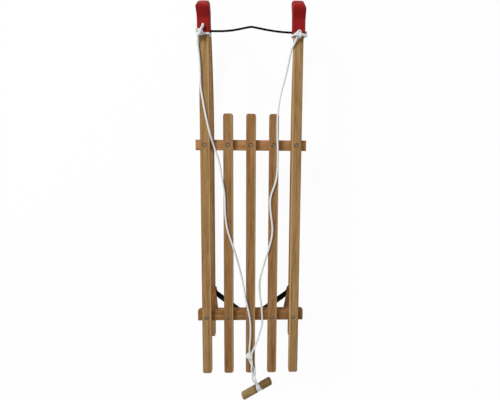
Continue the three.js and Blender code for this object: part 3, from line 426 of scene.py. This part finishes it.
def weathered_beech():
    """Bare turned beech: fibres 33 mm long and 2.5 mm wide, stains about 70 mm across, brown
    where it is handled and pale at its cut end."""
    material = new_material("weathered_beech")
    place = add_node(material, "ShaderNodeTexCoord").outputs["Object"]
    turned = add_node(material, "ShaderNodeMapping",
                      {"Vector": place, "Rotation": (0, 0, -GRIP_TURN)}).outputs["Vector"]
    long_grain = add_node(material, "ShaderNodeMapping",
                          {"Vector": turned, "Scale": (30, 400, 400)}).outputs["Vector"]
    grain = add_node(material, "ShaderNodeTexNoise",
                     {"Vector": long_grain, "Scale": 1.0, "Detail": 5.0})
    stains = add_node(material, "ShaderNodeTexNoise",
                      {"Vector": place, "Scale": 14.0, "Detail": 2.0})
    tone = add_node(material, "ShaderNodeValToRGB", {"Fac": grain.outputs["Fac"]},
                    stops=((0.3, "7d6443"), (0.5, "97805a"), (0.7, "a9926b"))).outputs["Color"]
    stain = add_node(material, "ShaderNodeValToRGB", {"Fac": stains.outputs["Fac"]},
                     stops=((0.35, "b9a184"), (0.65, "ffffff"))).outputs["Color"]
    mixed = add_node(material, "ShaderNodeMix", {0: 0.8, 6: tone, 7: stain}, data_type="RGBA",
                     blend_type="MULTIPLY")
    along = add_node(material, "ShaderNodeSeparateXYZ", {"Vector": turned}).outputs["X"]
    middle = grip_centre.dot(grip_axis)
    far = add_node(material, "ShaderNodeMapRange", {
        "Value": along, "From Min": middle - GRIP_LENGTH / 2, "From Max": middle + GRIP_LENGTH / 2})
    held = add_node(material, "ShaderNodeValToRGB", {"Fac": far.outputs["Result"]},
                    stops=((0.0, "fffff6"), (0.5, "f2ead6"), (0.75, "d9c9ad"))).outputs["Color"]
    wear_and_edge_highlight = add_node(material, "ShaderNodeMix", {0: 1.0, 6: mixed.outputs[2], 7: held},
                    data_type="RGBA", blend_type="MULTIPLY")
    cut_end = add_node(material, "ShaderNodeValToRGB", {"Fac": far.outputs["Result"]},
                       stops=((0.0, "ffffff"), (0.024, "ffffff"),
                              (0.034, "000000"))).outputs["Color"]
    both = add_node(material, "ShaderNodeMix", {0: cut_end, 6: wear_and_edge_highlight.outputs[2], 7: colour("d8c6aa")},
                    data_type="RGBA")
    bump = add_node(material, "ShaderNodeBump",
                    {"Strength": 0.4, "Distance": 0.0002, "Height": grain.outputs["Fac"]})
    shader = add_node(material, "ShaderNodeBsdfPrincipled", {
        "Base Color": both.outputs[2], "Roughness": 0.62, "Specular IOR Level": 0.2,
        "Normal": bump.outputs["Normal"]})
    add_node(material, "ShaderNodeOutputMaterial", {"Surface": shader.outputs["BSDF"]})
    return material


half = GRIP_LENGTH / 2
groove = HITCH_PITCH * HITCH_TURNS / 2 + CORD / 2 + CORD_GAP
groove_bevel = 0.0008
round_end = 0.004
round_steps = 6
profile = []
for sign in (1, -1):
    outward = [(0.0, sign * half), (GRIP_RADIUS - round_end, sign * half)]
    for i in range(1, round_steps + 1):
        turn = math.pi / 2 * i / round_steps
        inset = round_end * (1 - math.cos(turn))
        outward.append((GRIP_RADIUS - round_end * (1 - math.sin(turn)), sign * (half - inset)))
    edge = HITCH_MIDDLE + sign * groove
    outward += [(GRIP_RADIUS, edge + sign * groove_bevel), (GRIP_RADIUS - groove_bevel, edge),
                (GROOVE_RADIUS, edge)]
    profile += outward if sign > 0 else reversed(outward)
mesh = bpy.data.meshes.new("pull_bar")
mesh.from_pydata([Vector((along, 0, radius)) for radius, along in profile],
                 [(i, i + 1) for i in range(len(profile) - 1)], [])
pull_bar = bpy.data.objects.new("pull_bar", mesh)
bpy.context.collection.objects.link(pull_bar)
pick(pull_bar)
bpy.ops.object.mode_set(mode="EDIT")
bpy.ops.mesh.select_all(action="SELECT")
bpy.ops.mesh.spin(steps=48, angle=2 * math.pi, center=(0, 0, 0), axis=(1, 0, 0))
bpy.ops.mesh.select_all(action="SELECT")
bpy.ops.mesh.remove_doubles(threshold=0.00001)
bpy.ops.mesh.normals_make_consistent(inside=False)
bpy.ops.object.mode_set(mode="OBJECT")
pull_bar.data.transform(Matrix.Translation(grip_centre) @ Matrix.Rotation(GRIP_TURN, 4, "Z"))
bpy.ops.object.shade_smooth_by_angle(angle=math.radians(35))
pull_bar.data.materials.append(weathered_beech())
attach(pull_bar, "root")
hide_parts("pull_grip")

# The free stretches of the cord, listed with the knots or the grip at their ends; each is only looked
# up
for name, with_pieces in (
    ("cord_left", [knots["left"], joining_knot]),
    ("cord_right", [knots["right"]]),
    ("cord_to_grip_under", [grip_winding, pull_bar]),
    ("cord_to_grip_over", []),
):
    strand, line = strands[name]


# Seat: five slats of varnished ash, 30 by 15 mm, screwed down on two crossbars. The outer two
# run on as rails to the horns. Edges are rounded, and a painted highlight runs along one long edge.
SLAT_STEP = 0.070


def painted_edge_highlight(material, tone, side):
    """A painted highlight: a pale 3 mm line on a slat's right edge or a rail's inner one."""
    highlight_from, slat_edge = 0.0105, 0.0150
    place = add_node(material, "ShaderNodeTexCoord").outputs["Object"]
    across = add_node(material, "ShaderNodeSeparateXYZ", {"Vector": place}).outputs["X"]
    if side == "inner":
        width = add_node(material, "ShaderNodeMath", {0: across}, operation="ABSOLUTE").outputs[0]
        across = add_node(material, "ShaderNodeMath", {0: width, 1: -1.0},
                          operation="MULTIPLY").outputs[0]
    moved = add_node(material, "ShaderNodeMath", {0: across, 1: SLAT_STEP / 2},
                     operation="ADD").outputs[0]
    on_slat = add_node(material, "ShaderNodeMath", {0: moved, 1: SLAT_STEP},
                       operation="FLOORED_MODULO").outputs[0]
    near = add_node(material, "ShaderNodeMapRange", {
        "Value": on_slat, "From Min": SLAT_STEP / 2 + highlight_from,
        "From Max": SLAT_STEP / 2 + slat_edge})
    line = add_node(material, "ShaderNodeValToRGB", {"Fac": near.outputs["Result"]},
                    stops=((0.0, "000000"), (0.3, "ffffff"), (0.75, "ffffff"),
                           (1.0, "000000"))).outputs["Color"]
    share = add_node(material, "ShaderNodeMath", {0: line, 1: 0.5}, operation="MULTIPLY").outputs[0]
    # The painted highlight's pale colour, mixed in at half strength along the line
    mixed = add_node(material, "ShaderNodeMix", {0: share, 6: tone, 7: colour("cdab7c")},
                     data_type="RGBA")
    return mixed.outputs[2]


def varnished_ash(name, along, deep, middle, pale, wear_and_edge_highlight=None):
    """Ash under old clear varnish: soft bands of tone 11 mm wide, dark fibres 1.6 mm wide, as
    coarse as they need to show, and little gloss."""
    material = new_material(name)
    bands = fibres(material, along, width=0.011, length=0.22)
    lines = fibres(material, along, width=0.0016, length=0.05)
    flecks = fibres(material, along, width=0.0009, length=0.006, detail=2.0)
    tone = add_node(material, "ShaderNodeValToRGB", {"Fac": bands},
                    stops=((0.3, deep), (0.5, middle), (0.72, pale))).outputs["Color"]
    dark = add_node(material, "ShaderNodeValToRGB", {"Fac": lines},
                    stops=((0.38, "c7b39c"), (0.52, "ffffff"))).outputs["Color"]
    fleck = add_node(material, "ShaderNodeValToRGB", {"Fac": flecks},
                     stops=((0.3, "c9b195"), (0.42, "ffffff"))).outputs["Color"]
    lined = add_node(material, "ShaderNodeMix", {0: 0.7, 6: tone, 7: dark}, data_type="RGBA",
                     blend_type="MULTIPLY")
    both = add_node(material, "ShaderNodeMix", {0: 0.5, 6: lined.outputs[2], 7: fleck},
                    data_type="RGBA", blend_type="MULTIPLY")
    # Rails and slats get a painted highlight, a pale line along one long edge
    finish = painted_edge_highlight(material, both.outputs[2], wear_and_edge_highlight) if wear_and_edge_highlight else both.outputs[2]
    bump = add_node(material, "ShaderNodeBump",
                    {"Strength": 0.15, "Distance": 0.0002, "Height": lines})
    shader = add_node(material, "ShaderNodeBsdfPrincipled", {
        "Base Color": finish, "Roughness": 0.6, "Specular IOR Level": 0.015,
        "Normal": bump.outputs["Normal"]})
    add_node(material, "ShaderNodeOutputMaterial", {"Surface": shader.outputs["BSDF"]})
    return material


rail_ash = varnished_ash("varnished_ash_rail", "Y", "8f6c42", "a28055", "b08f63", "inner")
slat_ash = varnished_ash("varnished_ash_slat", "Y", "835c37", "96714a", "a58056", "right")
bent_ash = varnished_ash("varnished_ash_bent", "Y", "8c6840", "9c794f", "ab8a60")
# The front bar's ash is set paler than the rest: painted light that offsets the slats' shade on it
front_bar_ash_painted_light = varnished_ash("varnished_ash_front_bar_painted_light", "X", "9b7148", "b3855a", "c49a6e")
rear_bar_ash = varnished_ash("varnished_ash_rear_bar", "X", "825a36", "976e46", "a67d54")
leg_ash = varnished_ash("varnished_ash_upright", "Z", "784f2e", "88603a", "957046")


def select_edges(piece, wanted):
    """In edit mode, selects just the edges that the test names."""
    bpy.ops.mesh.select_all(action="DESELECT")
    bpy.ops.mesh.select_mode(type="EDGE")
    shape = bmesh.from_edit_mesh(piece.data)
    for edge in shape.edges:
        if wanted(edge):
            edge.select_set(True)
    bmesh.update_edit_mesh(piece.data)


def runs_along(edge, axis):
    direction = (edge.verts[1].co - edge.verts[0].co).normalized()
    return abs(direction["XYZ".index(axis)]) > 0.99


def board(name, low, high):
    """A plain board between two corners, in edit mode."""
    bpy.ops.object.select_all(action="DESELECT")
    bpy.ops.mesh.primitive_cube_add(size=1, location=(low + high) / 2, scale=high - low)
    bpy.ops.object.transform_apply(location=True, rotation=True, scale=True)
    piece = bpy.context.object
    piece.name = piece.data.name = name
    bpy.ops.object.mode_set(mode="EDIT")
    return piece


def cut_away(piece, cutter):
    """Cuts one object out of another and removes it."""
    pick(piece)
    shape_with("BOOLEAN", operation="DIFFERENCE", object=cutter)
    bpy.data.objects.remove(cutter)


ROWS = {"front": 0.15176, "rear": -0.40324}
SINK_RADIUS = 0.006
SINK_DEPTH = 0.0044
SINK_FLARE = 0.004


def slat(name, low, high):
    """A board with its corners rounded by 7 mm and its edges by 2.5 mm, sunk for its two screws."""
    piece = board(name, low, high)
    select_edges(piece, lambda edge: runs_along(edge, "Z"))
    bpy.ops.mesh.bevel(offset=0.007, segments=6, affect="EDGES")
    select_edges(piece, lambda edge: not runs_along(edge, "Z"))
    bpy.ops.mesh.bevel(offset=0.0025, segments=4, affect="EDGES")
    bpy.ops.object.mode_set(mode="OBJECT")
    for row in ROWS.values():
        place = ((low.x + high.x) / 2, row, high.z)
        bpy.ops.mesh.primitive_cylinder_add(vertices=32, radius=SINK_RADIUS, depth=2 * SINK_DEPTH,
                                            location=place)
        cut_away(piece, bpy.context.object)
        bpy.ops.mesh.primitive_cone_add(vertices=32, radius1=SINK_RADIUS,
                                        radius2=SINK_RADIUS + SINK_FLARE, depth=SINK_FLARE,
                                        location=place)
        cut_away(piece, bpy.context.object)
    bpy.ops.object.shade_smooth_by_angle(angle=math.radians(35))
    piece.data.materials.append(rail_ash if "rail" in name else slat_ash)
    return piece


RAIL_END = 0.5355
for node in ("seat_slat_left", "seat_slat_centre", "seat_slat_right", "outer_rail_left",
             "outer_rail_right"):
    low, high = (Vector(corner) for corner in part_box(node))
    high.y = min(high.y, RAIL_END)
    piece = slat(node + "_board", low, high)
    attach(piece, "root")
    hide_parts(node)

# Crossbars: two ash bars under the seat, 33 by 22 mm, with their lower end corners rounded off.
# Each stands on the tenons of its two legs.
for node in ("front_crossbar", "rear_crossbar"):
    low, high = (Vector(corner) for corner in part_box(node))
    piece = board(node + "_bar", low, high)
    select_edges(piece, lambda edge: runs_along(edge, "Y") and edge.verts[0].co.z < low.z + 0.001)
    bpy.ops.mesh.bevel(offset=0.010, segments=8, affect="EDGES")
    select_edges(piece, lambda edge: not runs_along(edge, "Y") or edge.calc_face_angle(0) > 1)
    bpy.ops.mesh.bevel(offset=0.002, segments=3, affect="EDGES")
    bpy.ops.object.mode_set(mode="OBJECT")
    bpy.ops.object.shade_smooth_by_angle(angle=math.radians(35))
    piece.data.materials.append(front_bar_ash_painted_light if node == "front_crossbar" else rear_bar_ash)
    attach(piece, "root")
    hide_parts(node)


# Seat screws: zinc-plated steel with a pan head and a cross recess, dulled by weather and
# darkened further by painted shade. Each is sunk in its slat and goes down into the crossbar.
def dull_and_shaded_zinc():
    """Zinc-plated steel out in the weather, no longer bright: dark grey with a mottle of 1 mm,
    darkened further by painted shade of the sunk heads.
    """
    material = new_material("weathered_zinc_plate_and_painted_shade")
    place = add_node(material, "ShaderNodeTexCoord").outputs["Object"]
    mottle = add_node(material, "ShaderNodeTexNoise",
                      {"Vector": place, "Scale": 900.0, "Detail": 3.0})
    tone = add_node(material, "ShaderNodeValToRGB", {"Fac": mottle.outputs["Fac"]},
                    stops=((0.35, "5f5548"), (0.65, "918471"))).outputs["Color"]
    shader = add_node(material, "ShaderNodeBsdfPrincipled",
                      {"Base Color": tone, "Metallic": 1.0, "Roughness": 0.42})
    add_node(material, "ShaderNodeOutputMaterial", {"Surface": shader.outputs["BSDF"]})
    return material


zinc_weathered_and_shaded = dull_and_shaded_zinc()


def cross_screw(name, radius, height, shank, length):
    """A pan-head screw at the origin: its head upwards from z 0, its shank down."""
    bpy.ops.object.select_all(action="DESELECT")
    bpy.ops.mesh.primitive_cylinder_add(vertices=32, radius=radius, depth=height,
                                        location=(0, 0, height / 2))
    bpy.ops.object.transform_apply(location=True)
    piece = bpy.context.object
    piece.name = piece.data.name = name
    bpy.ops.object.mode_set(mode="EDIT")
    select_edges(piece, lambda edge: min(vert.co.z for vert in edge.verts) > height / 2
                 and edge.calc_face_angle(0) > 1)
    bpy.ops.mesh.bevel(offset=height * 0.6, segments=4, affect="EDGES")
    bpy.ops.mesh.select_all(action="DESELECT")
    bpy.ops.mesh.select_mode(type="FACE")
    shape = bmesh.from_edit_mesh(piece.data)
    for face in shape.faces:
        if face.normal.z < -0.99:
            face.select_set(True)
    bmesh.update_edit_mesh(piece.data)
    bpy.ops.mesh.inset(thickness=radius - shank)
    bpy.ops.mesh.extrude_region_move(TRANSFORM_OT_translate={"value": (0, 0, -length)})
    bpy.ops.object.mode_set(mode="OBJECT")
    for turn in (0, math.pi / 2):
        bpy.ops.mesh.primitive_cube_add(size=1, location=(0, 0, height), rotation=(0, 0, turn),
                                        scale=(radius * 1.1, radius * 0.2, height * 0.9))
        cut_away(piece, bpy.context.object)
    bpy.ops.object.shade_smooth_by_angle(angle=math.radians(35))
    return piece


pattern = cross_screw("seat_screw_pattern", radius=0.0054, height=0.0030, shank=0.0025,
                      length=0.024)
for row, y in ROWS.items():
    for number in range(1, 6):
        node = f"seat_screw_{row}_{number}"
        piece = pattern.copy()
        piece.data = pattern.data.copy()
        piece.name = piece.data.name = node + "_pan"
        bpy.context.collection.objects.link(piece)
        x = (number - 3) * SLAT_STEP
        turn = Matrix.Rotation(0.9 * number + 0.4 * len(row), 4, "Z")
        piece.data.transform(Matrix.Translation((x, y, RAIL_TOP - SINK_DEPTH)) @ turn)
        piece.data.materials.append(zinc_weathered_and_shaded)
        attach(piece, "root")
        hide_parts(node)
bpy.data.objects.remove(pattern)

# Legs: four square ash legs that lean outwards, their grain upright, tenoned above and below.
# Their plain shape is the real one already, so they only get their finish.
for row in ROWS:
    for side in ("left", "right"):
        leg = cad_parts[f"leg_{row}_{side}"]
        leg.data.materials.clear()
        leg.data.materials.append(leg_ash)

# Runners: each is one ash bar, steam-bent from the level tail up into the horn. The horn thins
# and draws in to the rail that it meets, and its grain follows the bend.
RUNNER = 0.024
HORN = 0.020
SOLE = 0.003
TAIL = -0.59824
RISE_FROM = 0.17176
RISE_RADIUS = 1.370
RISE_TURN = math.radians(15)
HORN_RADIUS = 0.097
HORN_TURN = math.radians(125)
HORN_TIP = RAIL_TOP + 0.0185
TRACK = 0.155


def sole_line():
    """Stations on the sole: place, turn of the wood, and the share of the horn behind it."""
    rise_steps, horn_steps, tip_steps = 24, 42, 4
    stations = [(TAIL, SOLE, 0.0, 0.0)]
    for i in range(rise_steps + 1):
        turn = RISE_TURN * i / rise_steps
        stations.append((RISE_FROM + RISE_RADIUS * math.sin(turn),
                         SOLE + RISE_RADIUS * (1 - math.cos(turn)), turn, 0.0))
    y0, z0 = stations[-1][:2]
    arc = HORN_RADIUS * (HORN_TURN - RISE_TURN)
    arc_rise = HORN_RADIUS * (math.cos(RISE_TURN) - math.cos(HORN_TURN))
    straight = (HORN_TIP - z0 - arc_rise) / math.sin(HORN_TURN)
    whole = arc + straight
    for i in range(1, horn_steps + 1):
        turn = RISE_TURN + (HORN_TURN - RISE_TURN) * i / horn_steps
        y = y0 + HORN_RADIUS * (math.sin(turn) - math.sin(RISE_TURN))
        z = z0 + HORN_RADIUS * (math.cos(RISE_TURN) - math.cos(turn))
        stations.append((y, z, turn, arc / whole * i / horn_steps))
    y1, z1 = stations[-1][:2]
    for i in range(1, tip_steps + 1):
        reach = straight * i / tip_steps
        stations.append((y1 + reach * math.cos(HORN_TURN), z1 + reach * math.sin(HORN_TURN),
                         HORN_TURN, (arc + reach) / whole))
    return stations, arc / whole


SOLE_LINE, ARC_SHARE = sole_line()


def bent_bar(name, side, stations, width, low, high, bevel, tip_round=0.0):
    """A square bar pulled out step by step along the sole, then its tip and long edges rounded."""
    def ring(station):
        y, z, turn, share = station
        ease = share * share * (3 - 2 * share)
        x = side * (TRACK + (RAIL_X - TRACK) * ease)
        thick = high(share)
        up = Vector((0, -math.sin(turn), math.cos(turn)))
        foot = Vector((x, y, z))
        half = Vector((width / 2, 0, 0))
        return [foot - half + up * low, foot + half + up * low,
                foot + half + up * thick, foot - half + up * thick]

    bpy.ops.object.select_all(action="DESELECT")
    bpy.ops.mesh.primitive_plane_add(size=1)
    piece = bpy.context.object
    piece.name = piece.data.name = name
    bpy.ops.object.mode_set(mode="EDIT")
    shape = bmesh.from_edit_mesh(piece.data)
    for vert, place in zip(next(iter(shape.faces)).verts, ring(stations[0])):
        vert.co = place
    bmesh.update_edit_mesh(piece.data)
    for behind, station in zip(stations, stations[1:]):
        before, after = ring(behind), ring(station)
        bpy.ops.mesh.extrude_region_move(TRANSFORM_OT_translate={"value": (0, 0, 0)})
        shape = bmesh.from_edit_mesh(piece.data)
        for vert in [vert for vert in shape.verts if vert.select]:
            vert.co = after[min(range(4), key=lambda k: (before[k] - vert.co).length)]
        bmesh.update_edit_mesh(piece.data)
    bpy.ops.mesh.select_all(action="SELECT")
    bpy.ops.mesh.normals_make_consistent(inside=False)
    if tip_round:
        tip = ring(stations[-1])[:2]
        select_edges(piece, lambda edge: all(
            min((vert.co - place).length for place in tip) < 0.00001 for vert in edge.verts))
        bpy.ops.mesh.bevel(offset=tip_round, segments=4, affect="EDGES")
    bpy.ops.object.mode_set(mode="OBJECT")
    shape_with("BEVEL", width=bevel, segments=3, limit_method="ANGLE", angle_limit=math.radians(50))
    bpy.ops.object.shade_smooth_by_angle(angle=math.radians(35))
    return piece


def horn_thickness(share):
    """The wood thins round the horn's bend and stays thin to its tip."""
    return RUNNER + (HORN - RUNNER) * min(share / ARC_SHARE, 1)


for name, side in (("left", -1), ("right", 1)):
    runner = bent_bar(f"runner_{name}_bent", side, SOLE_LINE, width=RUNNER, low=0.0,
                      high=horn_thickness, bevel=0.002, tip_round=0.008)
    runner.data.materials.append(bent_ash)
    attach(runner, "root")
    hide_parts(f"runner_{name}")


# Shoes: a bare steel band under each runner, turned up over its tail and up the front of its
# horn, held by flat screws. It is run bright by snow and grit.
def run_bright_steel():
    """Mild steel polished by use: bright, with scratches 0.7 mm wide along its length."""
    material = new_material("run_bright_steel")
    scratches = fibres(material, "Y", width=0.0007, length=0.06, detail=3.0)
    tone = add_node(material, "ShaderNodeValToRGB", {"Fac": scratches},
                    stops=((0.3, "6f7072"), (0.7, "9fa0a1"))).outputs["Color"]
    bump = add_node(material, "ShaderNodeBump",
                    {"Strength": 0.2, "Distance": 0.0001, "Height": scratches})
    shader = add_node(material, "ShaderNodeBsdfPrincipled", {
        "Base Color": tone, "Metallic": 1.0, "Roughness": 0.33, "Normal": bump.outputs["Normal"]})
    add_node(material, "ShaderNodeOutputMaterial", {"Surface": shader.outputs["BSDF"]})
    return material


shoe_finish = run_bright_steel()
SHOE_WIDTH = 0.022
SHOE_GAP = 0.0001
SHOE_BEVEL = 0.0007
SHOE_END = math.radians(100)
LIP_GAP = 0.0003
LIP_TOP = 0.012
shoe_line = [station for station in SOLE_LINE if station[2] <= SHOE_END]
for name, side in (("left", -1), ("right", 1)):
    shoe = bent_bar(f"steel_shoe_{name}_band", side, shoe_line, width=SHOE_WIDTH, low=-SOLE,
                    high=lambda share: -SHOE_GAP, bevel=SHOE_BEVEL)
    lip = board("lip", Vector((side * TRACK - SHOE_WIDTH / 2, TAIL - SOLE, 0)),
                Vector((side * TRACK + SHOE_WIDTH / 2, TAIL - LIP_GAP, LIP_TOP)))
    select_edges(lip, lambda edge: True)
    bpy.ops.mesh.bevel(offset=SHOE_BEVEL, segments=3, affect="EDGES")
    bpy.ops.object.mode_set(mode="OBJECT")
    pick(shoe, lip)
    bpy.ops.object.join()
    shoe.data.materials.clear()
    shoe.data.materials.append(shoe_finish)
    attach(shoe, "root")
    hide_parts(f"steel_shoe_{name}")

# The shoes' and horns' screws and the rod's nuts keep their plain shape, in the same dull zinc with
# its painted shade
for node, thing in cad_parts.items():
    if node.startswith(("shoe_screw", "horn_screw", "rod_nut")):
        thing.data.materials.clear()
        thing.data.materials.append(zinc_weathered_and_shaded)


# Caps: red moulded polyethylene, pushed on over each horn and the front of its rail. The plain
# shape gets a smooth skin, and each nose is drawn 2 mm to the left and to its real length.
def red_polyethylene():
    """Moulded polyethylene: an even deep red, a little cloudy over 33 mm, with a low soft gloss
    and the faint orange peel of the mould, 1.4 mm across."""
    material = new_material("red_moulded_polyethylene")
    place = add_node(material, "ShaderNodeTexCoord").outputs["Object"]
    cloud = add_node(material, "ShaderNodeTexNoise",
                     {"Vector": place, "Scale": 30.0, "Detail": 2.0})
    peel = add_node(material, "ShaderNodeTexNoise",
                    {"Vector": place, "Scale": 700.0, "Detail": 2.0})
    tone = add_node(material, "ShaderNodeValToRGB", {"Fac": cloud.outputs["Fac"]},
                    stops=((0.3, "821d1c"), (0.7, "92211f"))).outputs["Color"]
    bump = add_node(material, "ShaderNodeBump",
                    {"Strength": 0.04, "Distance": 0.0002, "Height": peel.outputs["Fac"]})
    shader = add_node(material, "ShaderNodeBsdfPrincipled", {
        "Base Color": tone, "Roughness": 0.5, "Specular IOR Level": 0.03,
        "Normal": bump.outputs["Normal"]})
    add_node(material, "ShaderNodeOutputMaterial", {"Surface": shader.outputs["BSDF"]})
    return material


cap_finish = red_polyethylene()
NOSE_LENGTH = 0.045
for name, nose_move in (
    ("left", Vector((-0.0018, -0.0015, 0))),
    ("right", Vector((-0.0024, 0.0046, 0))),
):
    cad_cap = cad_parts[f"tip_cap_{name}"]
    cap = bpy.data.objects.new(f"tip_cap_{name}_moulded", cad_cap.data.copy())
    bpy.context.collection.objects.link(cap)
    pick(cap)
    bpy.ops.object.mode_set(mode="EDIT")
    bpy.ops.mesh.select_all(action="SELECT")
    bpy.ops.mesh.remove_doubles(threshold=0.00001)
    bpy.ops.object.mode_set(mode="OBJECT")
    shape_with("REMESH", mode="VOXEL", voxel_size=0.0007)
    shape_with("SMOOTH", factor=0.5, iterations=30)
    bpy.ops.object.shade_smooth()
    front = max(vert.co.y for vert in cap.data.vertices)
    for vert in cap.data.vertices:
        share = min(max((vert.co.y - front) / NOSE_LENGTH + 1, 0), 1)
        vert.co += nose_move * share * share * (3 - 2 * share)
    cap.data.materials.clear()
    cap.data.materials.append(cap_finish)
    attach(cap, "root")
    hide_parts(f"tip_cap_{name}")


# Stay rod and struts: black-painted mild steel. The rod is bowed forward in its middle and nutted
# outside each rail, and a flat strut runs from each leg up to the middle of its crossbar.
def black_paint():
    """Black paint on steel: dull, with dust in patches of about 8 mm that greys it a little."""
    material = new_material("black_painted_steel")
    place = add_node(material, "ShaderNodeTexCoord").outputs["Object"]
    dust = add_node(material, "ShaderNodeTexNoise",
                    {"Vector": place, "Scale": 120.0, "Detail": 4.0})
    tone = add_node(material, "ShaderNodeValToRGB", {"Fac": dust.outputs["Fac"]},
                    stops=((0.4, "060607"), (0.75, "0d0d0f"))).outputs["Color"]
    bump = add_node(material, "ShaderNodeBump",
                    {"Strength": 0.1, "Distance": 0.0002, "Height": dust.outputs["Fac"]})
    shader = add_node(material, "ShaderNodeBsdfPrincipled", {
        "Base Color": tone, "Roughness": 0.6, "Specular IOR Level": 0.015,
        "Normal": bump.outputs["Normal"]})
    add_node(material, "ShaderNodeOutputMaterial", {"Surface": shader.outputs["BSDF"]})
    return material


black_finish = black_paint()
ROD = 0.006
ROD_AHEAD = 0.007
ROD_DEPTH = 0.0075
# Across and forward in mm: the rod was bent by hand, and its right half is the fuller one
bow = [(-164.6, 0), (-140, 0), (-125, 0), (-94, 0.29), (-75.2, 1.3), (-58.28, 3.19), (-44.18, 5.65),
       (-28.2, 8.99), (-15.04, 11.89), (0, 14.3), (15.04, 12.1), (28.2, 9.9), (44.18, 7.0),
       (58.28, 5.0), (75.2, 2.9), (94, 1.3), (125, 0.1), (140, 0), (164.6, 0)]
rod_points = [Vector((x / 1000, CAP_REAR + ROD_AHEAD + y / 1000, RAIL_TOP - ROD_DEPTH))
              for x, y in bow]
stay_rod = tube("front_stay_rod_bent", smooth_line(rod_points, step=0.004), ROD)
stay_rod.data.materials.append(black_finish)
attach(stay_rod, "root")
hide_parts("front_stay_rod")
# The struts and their screws have the real shape already, so they only get their paint
for node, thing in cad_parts.items():
    if node.startswith("strut"):
        thing.data.materials.clear()
        thing.data.materials.append(black_finish)


# Floor and light: a plain white sweep with a faint shadow, under a broad soft light from above.
def white_paper():
    """White to the camera and in reflections, and a pale diffuse sheet to everything else."""
    material = new_material("white_paper")
    path = add_node(material, "ShaderNodeLightPath")
    either = add_node(material, "ShaderNodeMath", {
        0: path.outputs["Is Camera Ray"], 1: path.outputs["Is Glossy Ray"]}, operation="MAXIMUM")
    seen = add_node(material, "ShaderNodeMath", {
        0: either.outputs[0], 1: path.outputs["Is Transmission Ray"]}, operation="MAXIMUM")
    share = add_node(material, "ShaderNodeMath", {0: seen.outputs[0], 1: 0.95}, operation="MULTIPLY")
    paper = add_node(material, "ShaderNodeBsdfDiffuse", {"Color": colour("f6f6f6")})
    white = add_node(material, "ShaderNodeEmission", {"Color": (1, 1, 1, 1), "Strength": 1.0})
    both = add_node(material, "ShaderNodeMixShader", {
        0: share.outputs[0], 1: paper.outputs[0], 2: white.outputs[0]})
    add_node(material, "ShaderNodeOutputMaterial", {"Surface": both.outputs[0]})
    return material


bpy.ops.object.select_all(action="DESELECT")
bpy.ops.mesh.primitive_plane_add(size=14, location=(0, 0, -0.0002))
floor = bpy.context.object
floor.name = "floor"
floor.data.materials.append(white_paper())

# Around the sledge it is white to the camera and in reflections, and dim to everything else
world = bpy.data.worlds.new("studio")
bpy.context.scene.world = world
world.use_nodes = True
world.node_tree.nodes.clear()
path = add_node(world, "ShaderNodeLightPath")
seen = add_node(world, "ShaderNodeMath", {
    0: path.outputs["Is Camera Ray"], 1: path.outputs["Is Glossy Ray"]}, operation="MAXIMUM")
dim = add_node(world, "ShaderNodeBackground", {"Color": (0.97, 0.98, 1.0, 1), "Strength": 0.42})
white = add_node(world, "ShaderNodeBackground", {"Color": (1, 1, 1, 1), "Strength": 1.0})
both = add_node(world, "ShaderNodeMixShader", {
    0: seen.outputs[0], 1: dim.outputs[0], 2: white.outputs[0]})
add_node(world, "ShaderNodeOutputWorld", {"Surface": both.outputs[0]})

# A broad soft light from above on the left of the horns, and a weak one from the other side
for name, place, size, power in (
    ("key", Vector((-2.6, 2.34, 3.15)), 1.95, 165),
    ("fill", Vector((1.8, -1.2, 2.2)), 2.4, 8),
):
    lamp = bpy.data.lights.new(name, "AREA")
    lamp.shape = "DISK"
    lamp.size = size
    lamp.energy = power
    holder = bpy.data.objects.new(name, lamp)
    holder.location = place
    holder.rotation_euler = (-place).to_track_quat("-Z", "Y").to_euler()
    bpy.context.collection.objects.link(holder)

bpy.context.scene.view_settings.view_transform = "Standard"
